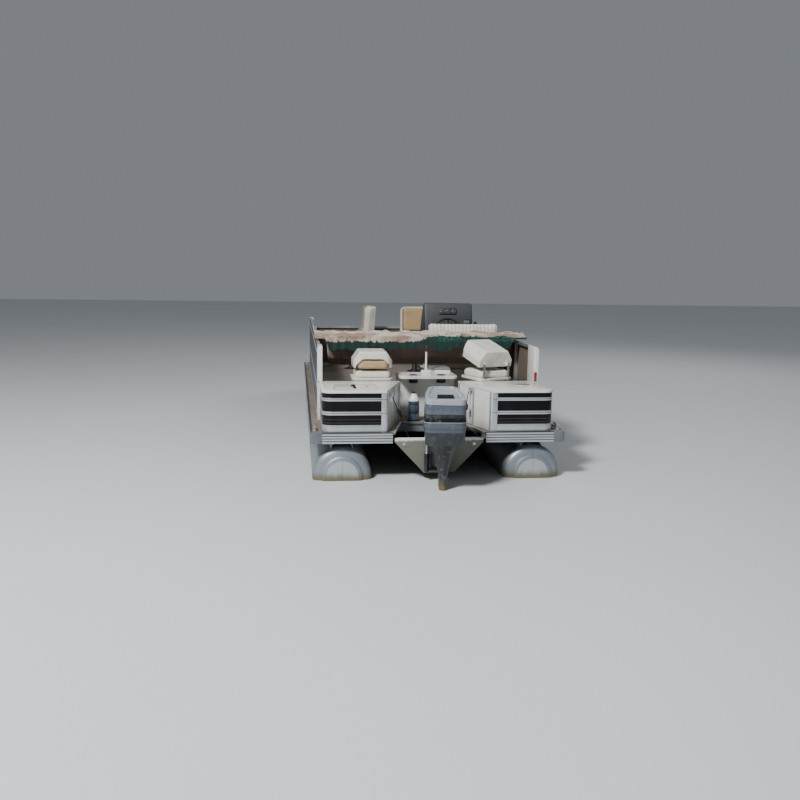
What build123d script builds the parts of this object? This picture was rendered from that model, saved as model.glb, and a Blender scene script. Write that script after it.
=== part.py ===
from build123d import *
import math
import os

# Pontoon boat with an outboard motor, in millimetres.
# X points to starboard, Y to the bow and Z up; the origin is on the centreline, half way along
# the deck, at the water's surface. Names ending in _AT are distances ahead of the deck's stern edge.

# Deck
DECK_LENGTH = 6100.0
DECK_BEAM = 2440.0
DECK_TOP = 460.0
BOARD_THICKNESS = 19.0
STERN = -DECK_LENGTH / 2

# Side rail round the deck
RAIL_THICKNESS = 20.0
RAIL_HEIGHT = 100.0
RAIL_LIP = 4.0
RAIL_RIBS = 4
RAIL_RIB_DEPTH = 4.0
RAIL_GROOVE = 8.0
CAP_LENGTH = 110.0
CAP_RADIUS = 22.0

# Floats
LOG_RADIUS = 280.0
LOG_SPACING = 1840.0
LOG_AXIS_Z = 40.0
LOG_TUBE_AT = 50.0
LOG_TUBE_LENGTH = DECK_LENGTH - 850.0
LOG_CAP_DISC_RADIUS = 190.0
LOG_CAP_STEP = 26.0
LOG_CAP_DEPTH = 62.0
KEEL_WIDTH = 36.0
KEEL_DEPTH = 24.0
LOG_FACETS = 32
# Nose sections: distance ahead of the tube's end, radius
NOSE = ((0.0, 280.0), (430.0, 250.0), (780.0, 160.0), (990.0, 48.0))

# Frame under the deck
RISER_WALL = 5.0
RISER_TOP_WIDTH = 150.0
RISER_FOOT_WIDTH = 260.0
RISER_AT = 120.0
RISER_LENGTH = DECK_LENGTH - 480.0
CHANNEL_HEIGHT = 75.0
CHANNEL_FLANGE = 42.0
CHANNEL_WALL = 4.0
CHANNEL_COUNT = 15
CHANNEL_AT = 180.0
CHANNEL_BOW_GAP = 420.0
CHANNEL_PITCH = (DECK_LENGTH - CHANNEL_AT - CHANNEL_BOW_GAP) / (CHANNEL_COUNT - 1)

# Notch in the deck for the motor
NOTCH_REAR_HALF = 440.0
NOTCH_FRONT_HALF = 300.0
NOTCH_DEPTH = 560.0
NOTCH_TRIM = 16.0
NOTCH_TRIM_RISE = 5.0

# Transom pod that carries the motor
TRANSOM_AT = 20.0
TRANSOM_THICKNESS = 45.0
TRANSOM_TOP = 405.0
TRANSOM_HALF = 425.0
POD_BOTTOM = 70.0
POD_BOTTOM_HALF = 145.0
POD_LENGTH = 1150.0
POD_NOSE = 420.0
POD_WALL = 5.0

# Outer face of the fences, and the stern boxes with the well between them
FENCE_OUTER = DECK_BEAM / 2 - 85.0
BOX_OUTER = FENCE_OUTER - 30.0
BOX_REAR_AT = 35.0
BOX_FRONT_AT = 720.0
BOX_TOP = 860.0
BOX_TOP_THICKNESS = 25.0
BOX_WALL = 18.0
BOX_CORNER = 90.0
BOX_LIP = 12.0
WELL_REAR_HALF = 505.0
WELL_FRONT_HALF = 300.0
PANEL_THICKNESS = 3.0
STRIP_THICKNESS = 7.0
POST_WIDTH = 50.0
WELL_RIB_WIDTH = 30.0
FOOT_STRIP = (6.0, 68.0)
# Upper stern strips: bottom height above the deck, height
STERN_STRIPS = ((168.0, 34.0), (300.0, 30.0))
DECK_PLATE_X = 895.0
DECK_PLATE_AT = 400.0
DECK_PLATE_RADIUS = 72.0

# Lid in the top of the port box
LID_INNER = 580.0
LID_WIDTH = 400.0
LID_AFT_AT = 140.0
LID_DEPTH = 360.0
LID_THICKNESS = 18.0
LID_GAP = 5.0
LATCH = (60.0, 26.0, 12.0)

# Shelf ahead of the well with two cups, and the livewell behind it
STATION_HALF = 300.0
STATION_AFT_AT = 722.0
STATION_WALL_AT = 930.0
STATION_FRONT_AT = 1100.0
STATION_TOP = 905.0
STATION_WALL = 20.0
STATION_SHELF = 26.0
STATION_CORNER = 70.0
CUP_RADIUS = 42.0
CUP_DEPTH = 70.0
CUP_X = 145.0
CUP_AT = 850.0
LIVEWELL_X = 178.0
LIVEWELL_WIDTH = 216.0
LIVEWELL_LENGTH = 236.0
LIVEWELL_TOP = 925.0
LIVEWELL_DEPTH = 300.0
LIVEWELL_WALL = 8.0
LIVEWELL_LID_THICKNESS = 26.0
LIVEWELL_LID_GAP = 6.0

# Fences
FENCE_FOOT = 15.0
FENCE_TOP = 1210.0
FENCE_AFT_AT = 950.0
FENCE_BOW_AT = DECK_LENGTH - 350.0
BOW_FENCE_TOP = 1080.0
TUBE = 32.0
SKIN = 3.0
TRIM_DEPTH = 7.0
TRIM_HEIGHT = 30.0
POST_PITCH = 620.0
END_AT = 690.0
END_WIDTH = 48.0
END_RADIUS = 44.0
BOW_CORNER = 60.0
LENS = (24.0, 12.0, 92.0)
GATE_GAP = 8.0
BOW_GATE_WIDTH = 660.0
PORT_GATE_AT = 3300.0
PORT_GATE_WIDTH = 650.0

# Console and steering
CONSOLE_WIDTH = 630.0
CONSOLE_X = FENCE_OUTER - SKIN - TUBE - 180.0 - CONSOLE_WIDTH / 2
CONSOLE_AT = 2960.0
CONSOLE_DEPTH = 470.0
CONSOLE_TOP = 1558.0
DASH_FOOT = 1060.0
DASH_LEAN = 17.0
WHEEL_X = CONSOLE_X - 35.0
WHEEL_RADIUS = 175.0
WHEEL_RIM = 14.0
WHEEL_STANDOFF = 115.0
WHEEL_Z = 1200.0
WHEEL_HUB = (34.0, 28.0)
WHEEL_SPOKE = (26.0, 10.0)
COLUMN_BASE = (48.0, 40.0)
COLUMN_RADIUS = 20.0
# Panels on the dash: distance up from its foot, X, width, height, thickness
DASH_PANELS = ((410.0, CONSOLE_X - 10.0, 230.0, 80.0, 14.0), (250.0, CONSOLE_X + 235.0, 90.0, 110.0, 10.0))
CONTROL_SIZE = (70.0, 190.0, 150.0)
LEVER_RISE = 130.0
LEVER_RADIUS = 9.0
KNOB = (18.0, 40.0)

# Helm bench
BENCH_WIDTH = 870.0
BENCH_X = FENCE_OUTER - SKIN - TUBE - 60.0 - BENCH_WIDTH / 2
BENCH_AT = 2030.0
BENCH_DEPTH = 540.0
BENCH_BASE_HEIGHT = 330.0
BENCH_BASE_INSET = 30.0
BENCH_TRAY = 25.0
BENCH_PAD = 110.0
BENCH_BACK_THICKNESS = 120.0
BENCH_BACK_TOP = 1380.0

# Folding chairs on posts
SEAT_WIDTH = 420.0
SEAT_DEPTH = 390.0
SEAT_BOTTOM = 402.0
SEAT_SHELL = 22.0
SEAT_PAD = 76.0
SEAT_CORNER = 60.0
SEAT_PAD_INSET = 14.0
SEAT_PAD_EDGE = 18.0
BACK_WIDTH = 400.0
BACK_HEIGHT = 385.0
BACK_FOOT = 22.0
BACK_HINGE_Y = -190.0
BACK_HINGE_Z = 556.0
BACK_DEPTH = 141.0
BACK_SHOULDER = 45.0
BACK_CROWN = 270.0
BACK_FRONT = 30.0
BACK_RIM = 30.0
BACK_TAPER = 0.6
BACK_PAD_SAG = 62.0
BACK_PAD_FRONT = 44.0
BACK_CORNER = 70.0
HINGE_PIN = 6.0
HINGE_HALF = 150.0
ARM_THICKNESS = 6.0
ARM_HALF = 14.0
POST_RADIUS = 36.0
POST_PLATE = 230.0
POST_THICKNESS = 10.0
POST_FACETS = 12
SWIVEL_HEIGHT = 14.0
SWIVEL_RADIUS = 88.0
LUG_WIDTH = 16.0
HINGE_SIDE_GAP = 3.0
PAD_GAP = 1.0
# Chair name, X, distance ahead of the stern, heading clockwise from the bow, lean of the back from upright
CHAIRS = (
    ("aft_port", -575.0, 935.0, 180.0, -90.0),
    ("aft_starboard", 640.0, 935.0, 340.0, -75.0),
    ("bow_port", -500.0, DECK_LENGTH - 870.0, 270.0, 4.0),
    ("bow_starboard", 430.0, DECK_LENGTH - 1200.0, 180.0, 4.0),
)

# Fittings
LIGHT_AT = 990.0
LIGHT_X = 6.0
LIGHT_HEIGHT = 290.0
LIGHT_RADIUS = 10.0
LIGHT_FOOT = (100.0, 60.0, 36.0)
LAMP = (17.0, 62.0)
BOTTLE_X = -165.0
BOTTLE_AT = 642.0
BOTTLE_RADIUS = 56.0
BOTTLE_HEIGHT = 290.0
BOTTLE_TRAY = 12.0
BOTTLE_KNOB = 16.0
BOTTLE_FACETS = 16
CLEAT_LENGTH = 150.0
CLEAT_FOOT = (40.0, 90.0, 6.0)
CLEAT_POST = (14.0, 50.0, 36.0)
CLEAT_HORN = 10.0

# Fuel lines, each from a gland on a well wall down to one on the transom, with a priming bulb
HOSE_RADIUS = 4.5
HOSE_ARC = 0.45
BULB_RADIUS = 20.0
BULB_LENGTH = 70.0
GLAND_RADIUS = 9.0
GLAND_REACH = 30.0
GLAND_BLOCK = (36.0, 30.0, 34.0)
# Route points: X, distance ahead of the stern, Z; the bulb is on the second run
PORT_LINE = (
    (-432.0, 194.0, 772.0),
    (-396.0, 192.0, 682.0),
    (-340.0, 190.0, 574.0),
    (-306.0, 196.0, 464.0),
    (-276.0, 190.0, 384.0),
    (-250.0, 150.0, 345.0),
    (-250.0, 100.0, 345.0),
)
STARBOARD_LINE = (
    (352.0, 430.0, 785.0),
    (330.0, 412.0, 700.0),
    (318.0, 375.0, 590.0),
    (305.0, 320.0, 490.0),
    (288.0, 240.0, 420.0),
    (255.0, 165.0, 345.0),
    (255.0, 100.0, 345.0),
)

# Folded canopy
CANOPY_PIVOT_AT = 2900.0
CANOPY_PIVOT_Z = 1250.0
CANOPY_TUBE = 12.5
CANOPY_HALF = FENCE_OUTER - 23.0
CANOPY_CLOTH_PORT = CANOPY_HALF + 38.0
CANOPY_CLOTH_STARBOARD = CANOPY_HALF + 75.0
CANOPY_BELLY_HALF = FENCE_OUTER - 75.0
CANOPY_NEAR_AT = 1355.0
CANOPY_FAR_AT = 1930.0
CANOPY_TOP = 1300.0
CANOPY_BELLY = 905.0
CANOPY_ROLL_FOOT = 1232.0
CANOPY_SKIRT = 1100.0
CANOPY_GAP = 1.0
CANOPY_INSET = 60.0
CANOPY_EYE = 17.0
CANOPY_PIN = 5.0
BRACKET_FOOT = (44.0, 70.0, 6.0)
BRACKET_EAR = (5.0, 30.0)
CANOPY_BEND = 90.0
CANOPY_BAR_GAPS = (230.0, 430.0)

# Outboard motor
TILT_AT = -30.0
TILT_Z = 418.0
TILT_TUBE = 18.0
STEER_AT = -100.0
STEER_PIN = 15.0
# The motor rests steered a little, its cowl's tail to port
STEER_REST = -5.5
CLAMP_HALF = 82.0
CLAMP_PLATE = 18.0
CLAMP_FOOT = (96.0, 34.0)
TRIM_EYE = (366.0, 26.0)
TRIM_BARREL = (22.0, 175.0)
COWL_AFT_AT = -545.0
COWL_FORE_AT = -48.0
COWL_WIDTH = 382.0
COWL_FRONT_WIDTH = 276.0
COWL_SHOULDER = 224.0
COWL_SPLIT = 648.0
COWL_AFT_TOP = 851.0
COWL_FORE_TOP = 915.0
COWL_BOTTOM = 438.0
COWL_FORE_BOTTOM = 505.0
COWL_WALL = 6.0
COWL_CORNER = 60.0
COWL_DRAFT = 18.0
COWL_EDGE = 10.0
PAN_INSET = 20.0
PAN_CHIN = (90.0, 170.0)
ENGINE = (230.0, 290.0, 150.0)
RECESS_AT = 112.0
RECESS = (150.0, 74.0, 22.0)
LEG_SETBACK = 185.0
YOKE_THICKNESS = 14.0
YOKE_TOP = 432.0
YOKE_FOOT = 74.0
YOKE_HALF = 24.0
PLATE_Z = -100.0
SHAFT_Z = -275.0
SKEG_Z = -455.0
SKEG_HALF = 7.0
# Plate over the propeller: half width, reach aft and forward of the leg, thickness
PLATE = (95.0, 280.0, 160.0, 8.0)
PROPELLER_RADIUS = 150.0
PROPELLER_HUB = 44.0
PROPELLER_BLADES = 3
BLADE_PITCH = 28.0
SHAFT_RADIUS = 12.0
GEARCASE_TAIL = 130.0
FIT = 0.05
SOFT_GAP = 0.3


def along(distance):
    """Y of a place that is this far ahead of the deck's stern edge."""
    return STERN + distance


def block(x0, x1, y0, y1, z0, z1):
    return Pos((x0 + x1) / 2, (y0 + y1) / 2, (z0 + z1) / 2) * Box(x1 - x0, y1 - y0, z1 - z0)


def prism_x(outline, x0, x1):
    """Extrude a (Y, Z) outline from x0 to x1."""
    return extrude(Plane.YZ.offset(x0) * make_face(Polyline(*outline, close=True)), x1 - x0)


def prism_y(outline, y0, y1):
    """Extrude an (X, Z) outline from y0 to y1."""
    return extrude(Plane.XZ.offset(-y0) * make_face(Polyline(*outline, close=True)), y0 - y1)


def prism_z(outline, z0, z1):
    """Extrude an (X, Y) outline from z0 to z1."""
    return extrude(Plane.XY.offset(z0) * make_face(Polyline(*outline, close=True)), z1 - z0)


def rod(start, end, radius):
    direction = Vector(*end) - Vector(*start)
    plane = Plane(origin=start, z_dir=direction)
    return Solid.make_cylinder(radius, direction.length, plane)


def bar(points, radius):
    """Tube with eight flats through a few points, mitred at its turns."""
    start = Plane(origin=points[0], z_dir=Vector(*points[1]) - Vector(*points[0]))
    return sweep(start * RegularPolygon(radius, 8), path=Polyline(*points), transition=Transition.RIGHT)


def rounded(outline, radius, steps=3):
    """Outline with each corner cut in short straight steps along an arc of the radius."""
    corners = [Vector(x, y) for x, y in outline]
    points = []
    for index, corner in enumerate(corners):
        back = (corners[index - 1] - corner).normalized()
        on = (corners[(index + 1) % len(corners)] - corner).normalized()
        half = math.radians(back.get_angle(on)) / 2
        centre = corner + (back + on).normalized() * (radius / math.sin(half))
        first = corner + back * (radius / math.tan(half)) - centre
        last = corner + on * (radius / math.tan(half)) - centre
        for step in range(steps + 1):
            share = step / steps
            spoke = (first * (1 - share) + last * share).normalized() * radius
            points.append((centre.X + spoke.X, centre.Y + spoke.Y))
    return points


def mirrored(piece):
    return mirror(piece, about=Plane.YZ)


def write(name, *pieces):
    piece = pieces[0] if len(pieces) == 1 else Compound(children=list(pieces))
    piece.label = name
    export_step(piece, f"parts/{name}.step")


def log():
    """Starboard float: rolled tube, stepped stern cap, raised nose and keel strip."""
    start = along(LOG_TUBE_AT)
    end = start + LOG_TUBE_LENGTH
    cap_edge = start + LOG_CAP_DEPTH
    cap = ((start - LOG_CAP_STEP, LOG_CAP_DISC_RADIUS), (start, LOG_CAP_DISC_RADIUS),
           (start + LOG_CAP_DEPTH * 0.35, LOG_RADIUS * 0.93), (cap_edge, LOG_RADIUS))
    stern_rings = [Plane.XZ.offset(-y) * RegularPolygon(radius, LOG_FACETS) for y, radius in cap]
    nose_rings = []
    for ahead, radius in NOSE:
        rise = LOG_RADIUS - radius
        plane = Plane.XZ.offset(-(end + ahead))
        nose_rings.append(plane * Pos(0, rise) * RegularPolygon(radius, LOG_FACETS))
    tube = rod((0, cap_edge, 0), (0, end, 0), LOG_RADIUS)
    keel = block(-KEEL_WIDTH / 2, KEEL_WIDTH / 2, cap_edge, end, -LOG_RADIUS - KEEL_DEPTH, 0)
    body = tube + loft(stern_rings, ruled=True) + loft(nose_rings, ruled=True) + keel
    return Pos(LOG_SPACING / 2, 0, LOG_AXIS_Z) * body


def riser():
    """Hat section that carries the cross members on the starboard float."""
    x = LOG_SPACING / 2
    top = DECK_TOP - BOARD_THICKNESS - CHANNEL_HEIGHT
    foot = LOG_AXIS_Z + LOG_RADIUS * 0.8
    outer = ((x - RISER_FOOT_WIDTH / 2, foot), (x - RISER_TOP_WIDTH / 2, top),
             (x + RISER_TOP_WIDTH / 2, top), (x + RISER_FOOT_WIDTH / 2, foot))
    wall = RISER_WALL
    inner = ((x - RISER_FOOT_WIDTH / 2 + wall * 1.5, foot - 1), (x - RISER_TOP_WIDTH / 2 + wall, top - wall),
             (x + RISER_TOP_WIDTH / 2 - wall, top - wall), (x + RISER_FOOT_WIDTH / 2 - wall * 1.5, foot - 1))
    start = along(RISER_AT)
    end = start + RISER_LENGTH
    hat = prism_y(outer, start, end) - prism_y(inner, start - 1, end + 1)
    tube = rod((x, start - 1, LOG_AXIS_Z), (x, end + 1, LOG_AXIS_Z), LOG_RADIUS)
    return hat - tube


def channel(x0, x1, y):
    """One C-shaped cross member from x0 to x1, its web facing aft."""
    top = DECK_TOP - BOARD_THICKNESS
    bottom = top - CHANNEL_HEIGHT
    outline = ((y, bottom), (y + CHANNEL_FLANGE, bottom), (y + CHANNEL_FLANGE, bottom + CHANNEL_WALL),
               (y + CHANNEL_WALL, bottom + CHANNEL_WALL), (y + CHANNEL_WALL, top - CHANNEL_WALL),
               (y + CHANNEL_FLANGE, top - CHANNEL_WALL), (y + CHANNEL_FLANGE, top), (y, top))
    return prism_x(outline, x0, x1)


def cross_members():
    half = DECK_BEAM / 2 - RAIL_THICKNESS
    pieces = []
    for index in range(CHANNEL_COUNT):
        y_at = CHANNEL_AT + index * CHANNEL_PITCH
        if y_at < NOTCH_DEPTH:
            inner = NOTCH_REAR_HALF
            pieces.append(channel(inner, half, along(y_at)))
            pieces.append(channel(-half, -inner, along(y_at)))
        else:
            pieces.append(channel(-half, half, along(y_at)))
    return pieces


def transom_pod():
    """Tub under the deck with the thick transom that the motor hangs on."""
    top = DECK_TOP - BOARD_THICKNESS - CHANNEL_HEIGHT
    rear = along(TRANSOM_AT)
    front = rear + POD_LENGTH
    section = ((-TRANSOM_HALF, top), (TRANSOM_HALF, top), (POD_BOTTOM_HALF, POD_BOTTOM),
               (-POD_BOTTOM_HALF, POD_BOTTOM))
    tub = prism_y(section, rear, front)
    rise = ((front - POD_NOSE, POD_BOTTOM - 1), (front + 1, POD_BOTTOM - 1), (front + 1, top - 40))
    tub = tub - prism_x(rise, -TRANSOM_HALF, TRANSOM_HALF)
    tub = offset(tub, amount=-POD_WALL, openings=tub.faces().sort_by(Axis.Z)[-1])
    plate_outline = ((-TRANSOM_HALF, TRANSOM_TOP), (TRANSOM_HALF, TRANSOM_TOP), (TRANSOM_HALF, top),
                     (POD_BOTTOM_HALF, POD_BOTTOM), (-POD_BOTTOM_HALF, POD_BOTTOM), (-TRANSOM_HALF, top))
    return tub + prism_y(plate_outline, rear, rear + TRANSOM_THICKNESS)


def notch(margin, z0, z1):
    """Trapezoid cut for the motor, widened all round by a margin."""
    rear = along(0) - 50
    front = along(NOTCH_DEPTH) + margin
    return prism_z(((-NOTCH_REAR_HALF - margin, rear), (NOTCH_REAR_HALF + margin, rear),
                    (NOTCH_FRONT_HALF + margin, front), (-NOTCH_FRONT_HALF - margin, front)), z0, z1)


def deck_board():
    half = DECK_BEAM / 2 - RAIL_THICKNESS
    board = block(-half, half, along(RAIL_THICKNESS), along(DECK_LENGTH - RAIL_THICKNESS),
                  DECK_TOP - BOARD_THICKNESS, DECK_TOP)
    return board - notch(0, DECK_TOP - BOARD_THICKNESS - 1, DECK_TOP + 1)


def notch_trim():
    """Bright edging round the notch, standing on the deck."""
    top = DECK_TOP + NOTCH_TRIM_RISE
    ring = notch(NOTCH_TRIM, DECK_TOP, top) - notch(0, DECK_TOP - 1, top + 1)
    half = NOTCH_REAR_HALF + NOTCH_TRIM
    return ring - block(-half - 10, half + 10, along(-100), along(RAIL_THICKNESS), DECK_TOP - 1, top + 1)


def rail_section():
    """Ribbed rail outline as (outward, height) pairs, the back face at 0."""
    bottom = DECK_TOP + RAIL_LIP - RAIL_HEIGHT
    pitch = RAIL_HEIGHT / RAIL_RIBS
    points = [(0, bottom)]
    for index in range(RAIL_RIBS):
        foot = bottom + index * pitch
        points.append((RAIL_THICKNESS, foot))
        points.append((RAIL_THICKNESS, foot + pitch - RAIL_GROOVE))
        points.append((RAIL_THICKNESS - RAIL_RIB_DEPTH, foot + pitch - RAIL_GROOVE))
        points.append((RAIL_THICKNESS - RAIL_RIB_DEPTH, foot + pitch))
    points.append((0, bottom + RAIL_HEIGHT))
    return points


def deck_rail():
    half = DECK_BEAM / 2 - RAIL_THICKNESS
    side = prism_y([(half + out, z) for out, z in rail_section()],
                   along(CAP_LENGTH), along(DECK_LENGTH - CAP_LENGTH))
    bow_face = along(DECK_LENGTH - RAIL_THICKNESS)
    bow_half = DECK_BEAM / 2 - CAP_LENGTH
    bow = prism_x([(bow_face + out, z) for out, z in rail_section()], -bow_half, bow_half)
    stern_face = along(RAIL_THICKNESS)
    stern = prism_x([(stern_face - out, z) for out, z in rail_section()], NOTCH_REAR_HALF + 8, bow_half)
    return [side, mirrored(side), bow, stern, mirrored(stern)]


def corner_cap(y_edge, inward):
    """Starboard corner cap; inward is +1 at the stern and -1 at the bow."""
    edge = DECK_BEAM / 2
    z0 = DECK_TOP + RAIL_LIP - RAIL_HEIGHT
    y0, y1 = sorted((y_edge, y_edge + inward * CAP_LENGTH))
    outer = block(edge - CAP_LENGTH, edge, y0, y1, z0, z0 + RAIL_HEIGHT)
    corner = outer.edges().filter_by(Axis.Z).sort_by_distance(Vector(edge, y_edge, z0))[0]
    outer = fillet(corner, CAP_RADIUS)
    y2, y3 = sorted((y_edge + inward * RAIL_THICKNESS, y_edge + inward * (CAP_LENGTH + 1)))
    return outer - block(edge - CAP_LENGTH - 1, edge - RAIL_THICKNESS, y2, y3, z0 - 1, z0 + RAIL_HEIGHT + 1)


def corner_caps():
    pieces = []
    for y_edge, inward in ((along(0), 1), (along(DECK_LENGTH), -1)):
        cap = corner_cap(y_edge, inward)
        pieces.append(cap)
        pieces.append(mirrored(cap))
    return pieces


def box_plan(grow):
    """Plan of the starboard stern box as a face, grown outward and aft by a distance."""
    rear = along(BOX_REAR_AT) - grow
    front = along(BOX_FRONT_AT)
    outer = BOX_OUTER + grow
    plan = make_face(Polyline((WELL_REAR_HALF, rear), (outer, rear), (outer, front),
                              (WELL_FRONT_HALF, front), close=True))
    corner = plan.vertices().sort_by_distance(Vector(outer, rear, 0))[0]
    return fillet(corner, BOX_CORNER + grow)


def box_inner_plan(wall):
    """Space inside the starboard box's walls."""
    rear = along(BOX_REAR_AT) + wall
    front = along(BOX_FRONT_AT) - wall
    outer = BOX_OUTER - wall
    side = wall * 1.1
    plan = make_face(Polyline((WELL_REAR_HALF + side, rear), (outer, rear), (outer, front),
                              (WELL_FRONT_HALF + side, front), close=True))
    corner = plan.vertices().sort_by_distance(Vector(outer, rear, 0))[0]
    return fillet(corner, BOX_CORNER - wall)


def stern_box():
    """Starboard box walls, standing on the deck under the moulded top."""
    height = BOX_TOP - BOX_TOP_THICKNESS - DECK_TOP
    walls = extrude(Plane.XY.offset(DECK_TOP) * box_plan(0), height)
    return walls - extrude(Plane.XY.offset(DECK_TOP - 1) * box_inner_plan(BOX_WALL), height + 2)


def box_top(lidded):
    """Moulded top of the starboard box, overhanging aft and outboard."""
    top = extrude(Plane.XY.offset(BOX_TOP - BOX_TOP_THICKNESS) * box_plan(BOX_LIP), BOX_TOP_THICKNESS)
    if lidded:
        return top - lid_block(LID_GAP, BOX_TOP_THICKNESS + 2, BOX_TOP + 1)
    return top + Pos(DECK_PLATE_X, along(DECK_PLATE_AT), BOX_TOP) * Cylinder(DECK_PLATE_RADIUS, 6)


def lid_block(gap, thickness, top):
    """Lid outline on the starboard side, grown by a gap."""
    return block(LID_INNER - gap, LID_INNER + LID_WIDTH + gap, along(LID_AFT_AT) - gap,
                 along(LID_AFT_AT + LID_DEPTH) + gap, top - thickness, top)


def box_lid():
    """Hinged lid of the port box, flush with the top, with its latch cup."""
    lid = lid_block(0, LID_THICKNESS, BOX_TOP)
    latch_x = LID_INNER + LID_WIDTH * 0.22
    latch_y = along(LID_AFT_AT + LID_DEPTH * 0.5)
    lid = lid - Pos(latch_x, latch_y, BOX_TOP) * Box(*LATCH)
    return mirrored(lid)


def wrapped_band(z0, height, inside, outside):
    """Band on the starboard box from its inner post round the corner and along its side."""
    band = extrude(Plane.XY.offset(z0) * box_plan(outside), height)
    band = band - extrude(Plane.XY.offset(z0 - 1) * box_plan(inside), height + 2)
    inner_edge = WELL_REAR_HALF + POST_WIDTH
    keep = block(inner_edge, BOX_OUTER + 50, along(BOX_REAR_AT - 50), along(BOX_FRONT_AT),
                 z0 - 1, z0 + height + 1)
    return band & keep


def stern_panel():
    foot = DECK_TOP + sum(FOOT_STRIP)
    return wrapped_band(foot, BOX_TOP - BOX_TOP_THICKNESS - 2 - foot, 0, PANEL_THICKNESS)


def stern_trim():
    """Bright strips round the starboard box and the post at its inner corner."""
    pieces = [wrapped_band(DECK_TOP + FOOT_STRIP[0], FOOT_STRIP[1], 0, STRIP_THICKNESS)]
    for rise, height in STERN_STRIPS:
        pieces.append(wrapped_band(DECK_TOP + rise, height, PANEL_THICKNESS, STRIP_THICKNESS))
    rear = along(BOX_REAR_AT)
    post = block(WELL_REAR_HALF, WELL_REAR_HALF + POST_WIDTH, rear - STRIP_THICKNESS, rear,
                 DECK_TOP, BOX_TOP - BOX_TOP_THICKNESS)
    pieces.append(post)
    return pieces


def well_rib():
    """Bright ribs on the well side of the starboard box."""
    rear = along(BOX_REAR_AT)
    front = along(BOX_FRONT_AT)
    run = front - rear
    spread = WELL_REAR_HALF - WELL_FRONT_HALF
    top = BOX_TOP - BOX_TOP_THICKNESS
    pieces = []
    for share in (0.02, 0.5, 0.93):
        y = rear + run * share
        x = WELL_REAR_HALF - spread * share
        slope = spread / run
        outline = ((x, y), (x - WELL_RIB_WIDTH * slope, y + WELL_RIB_WIDTH),
                   (x - WELL_RIB_WIDTH * slope - 6, y + WELL_RIB_WIDTH), (x - 6, y))
        pieces.append(prism_z(outline, DECK_TOP, top))
    return pieces


def well_station():
    """Shelf over the well with its cups, the wall ahead of it and the livewell tub."""
    rear = along(STATION_AFT_AT)
    wall_rear = along(STATION_WALL_AT)
    front = along(STATION_FRONT_AT)
    under = STATION_TOP - STATION_SHELF
    lower = block(-STATION_HALF + 2, STATION_HALF - 2, wall_rear, front, DECK_TOP, under)
    inner = block(-STATION_HALF + STATION_WALL, STATION_HALF - STATION_WALL, wall_rear + STATION_WALL,
                  front - STATION_WALL, DECK_TOP - 1, under)
    shelf = block(-STATION_HALF, STATION_HALF, rear, front, under, STATION_TOP)
    shelf = fillet(shelf.edges().filter_by(Axis.Z).sort_by(Axis.Y)[:2], STATION_CORNER)
    station = lower - inner + shelf
    for side in (-1, 1):
        cup = Pos(side * CUP_X, along(CUP_AT), STATION_TOP - CUP_DEPTH / 2 - 4)
        station = station + cup * Cylinder(CUP_RADIUS + 4, CUP_DEPTH + 8)
    for side in (-1, 1):
        hole = Pos(side * CUP_X, along(CUP_AT), STATION_TOP - CUP_DEPTH / 2)
        station = station - hole * Cylinder(CUP_RADIUS, CUP_DEPTH)
    return station + livewell_tub()


def livewell_box(y0, y1, z0, z1, inset):
    """Block over the livewell's width, between two distances ahead of the stern."""
    half = LIVEWELL_WIDTH / 2 - inset
    return block(LIVEWELL_X - half, LIVEWELL_X + half, along(y0), along(y1), z0, z1)


def livewell_tub():
    front = STATION_FRONT_AT + LIVEWELL_LENGTH
    outside = livewell_box(STATION_FRONT_AT, front, DECK_TOP, LIVEWELL_TOP, 0)
    wall = LIVEWELL_WALL
    floor = LIVEWELL_TOP - LIVEWELL_DEPTH
    inside = livewell_box(STATION_FRONT_AT + wall, front - wall, floor, LIVEWELL_TOP + 1, wall)
    return outside - inside


def livewell_lid():
    """Lid over the livewell, hinged along its aft edge."""
    z0 = LIVEWELL_TOP + SOFT_GAP
    lid = livewell_box(STATION_FRONT_AT + LIVEWELL_LID_GAP, STATION_FRONT_AT + LIVEWELL_LENGTH, z0,
                       z0 + LIVEWELL_LID_THICKNESS, 0)
    lid = chamfer(lid.edges().filter_by(Axis.Z).sort_by(Axis.Y)[-2:], 24)
    return chamfer(lid.faces().sort_by(Axis.Z)[-1].edges(), 8)


def fence_panel(length, height):
    """Tube frame of one fence run, standing on its foot, from 0 to length along X and 0 to TUBE deep."""
    frame = block(0, length, 0, TUBE, 0, height)
    bays = max(1, round(length / POST_PITCH))
    clear = (length - TUBE) / bays
    for index in range(bays):
        left = TUBE + index * clear
        frame = frame - block(left, left + clear - TUBE, -1, TUBE + 1, TUBE, height - TUBE)
    return frame


def fence_skin(length, height):
    """Sheet on the outer face of a fence run, inside the frame's edge tubes."""
    return block(4, length - 4, -SKIN, 0, 4, height - 4)


def fence_strip(length, height):
    pieces = []
    for share in (0.03, 0.42, 0.93):
        z = (height - TRIM_HEIGHT) * share
        pieces.append(block(0, length, -TRIM_DEPTH, -SKIN, z, z + TRIM_HEIGHT))
    return pieces


def side_run(side, y_at, length, build):
    """Build a run along +Y whose skin side faces outboard."""
    height = FENCE_TOP - DECK_TOP - FENCE_FOOT
    pieces = build(length, height)
    pieces = pieces if isinstance(pieces, list) else [pieces]
    face = FENCE_OUTER - SKIN
    placed = []
    for piece in pieces:
        turned = Pos(face, along(y_at), DECK_TOP + FENCE_FOOT) * Rot(0, 0, 90) * piece
        placed.append(mirrored(turned) if side < 0 else turned)
    return placed


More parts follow.
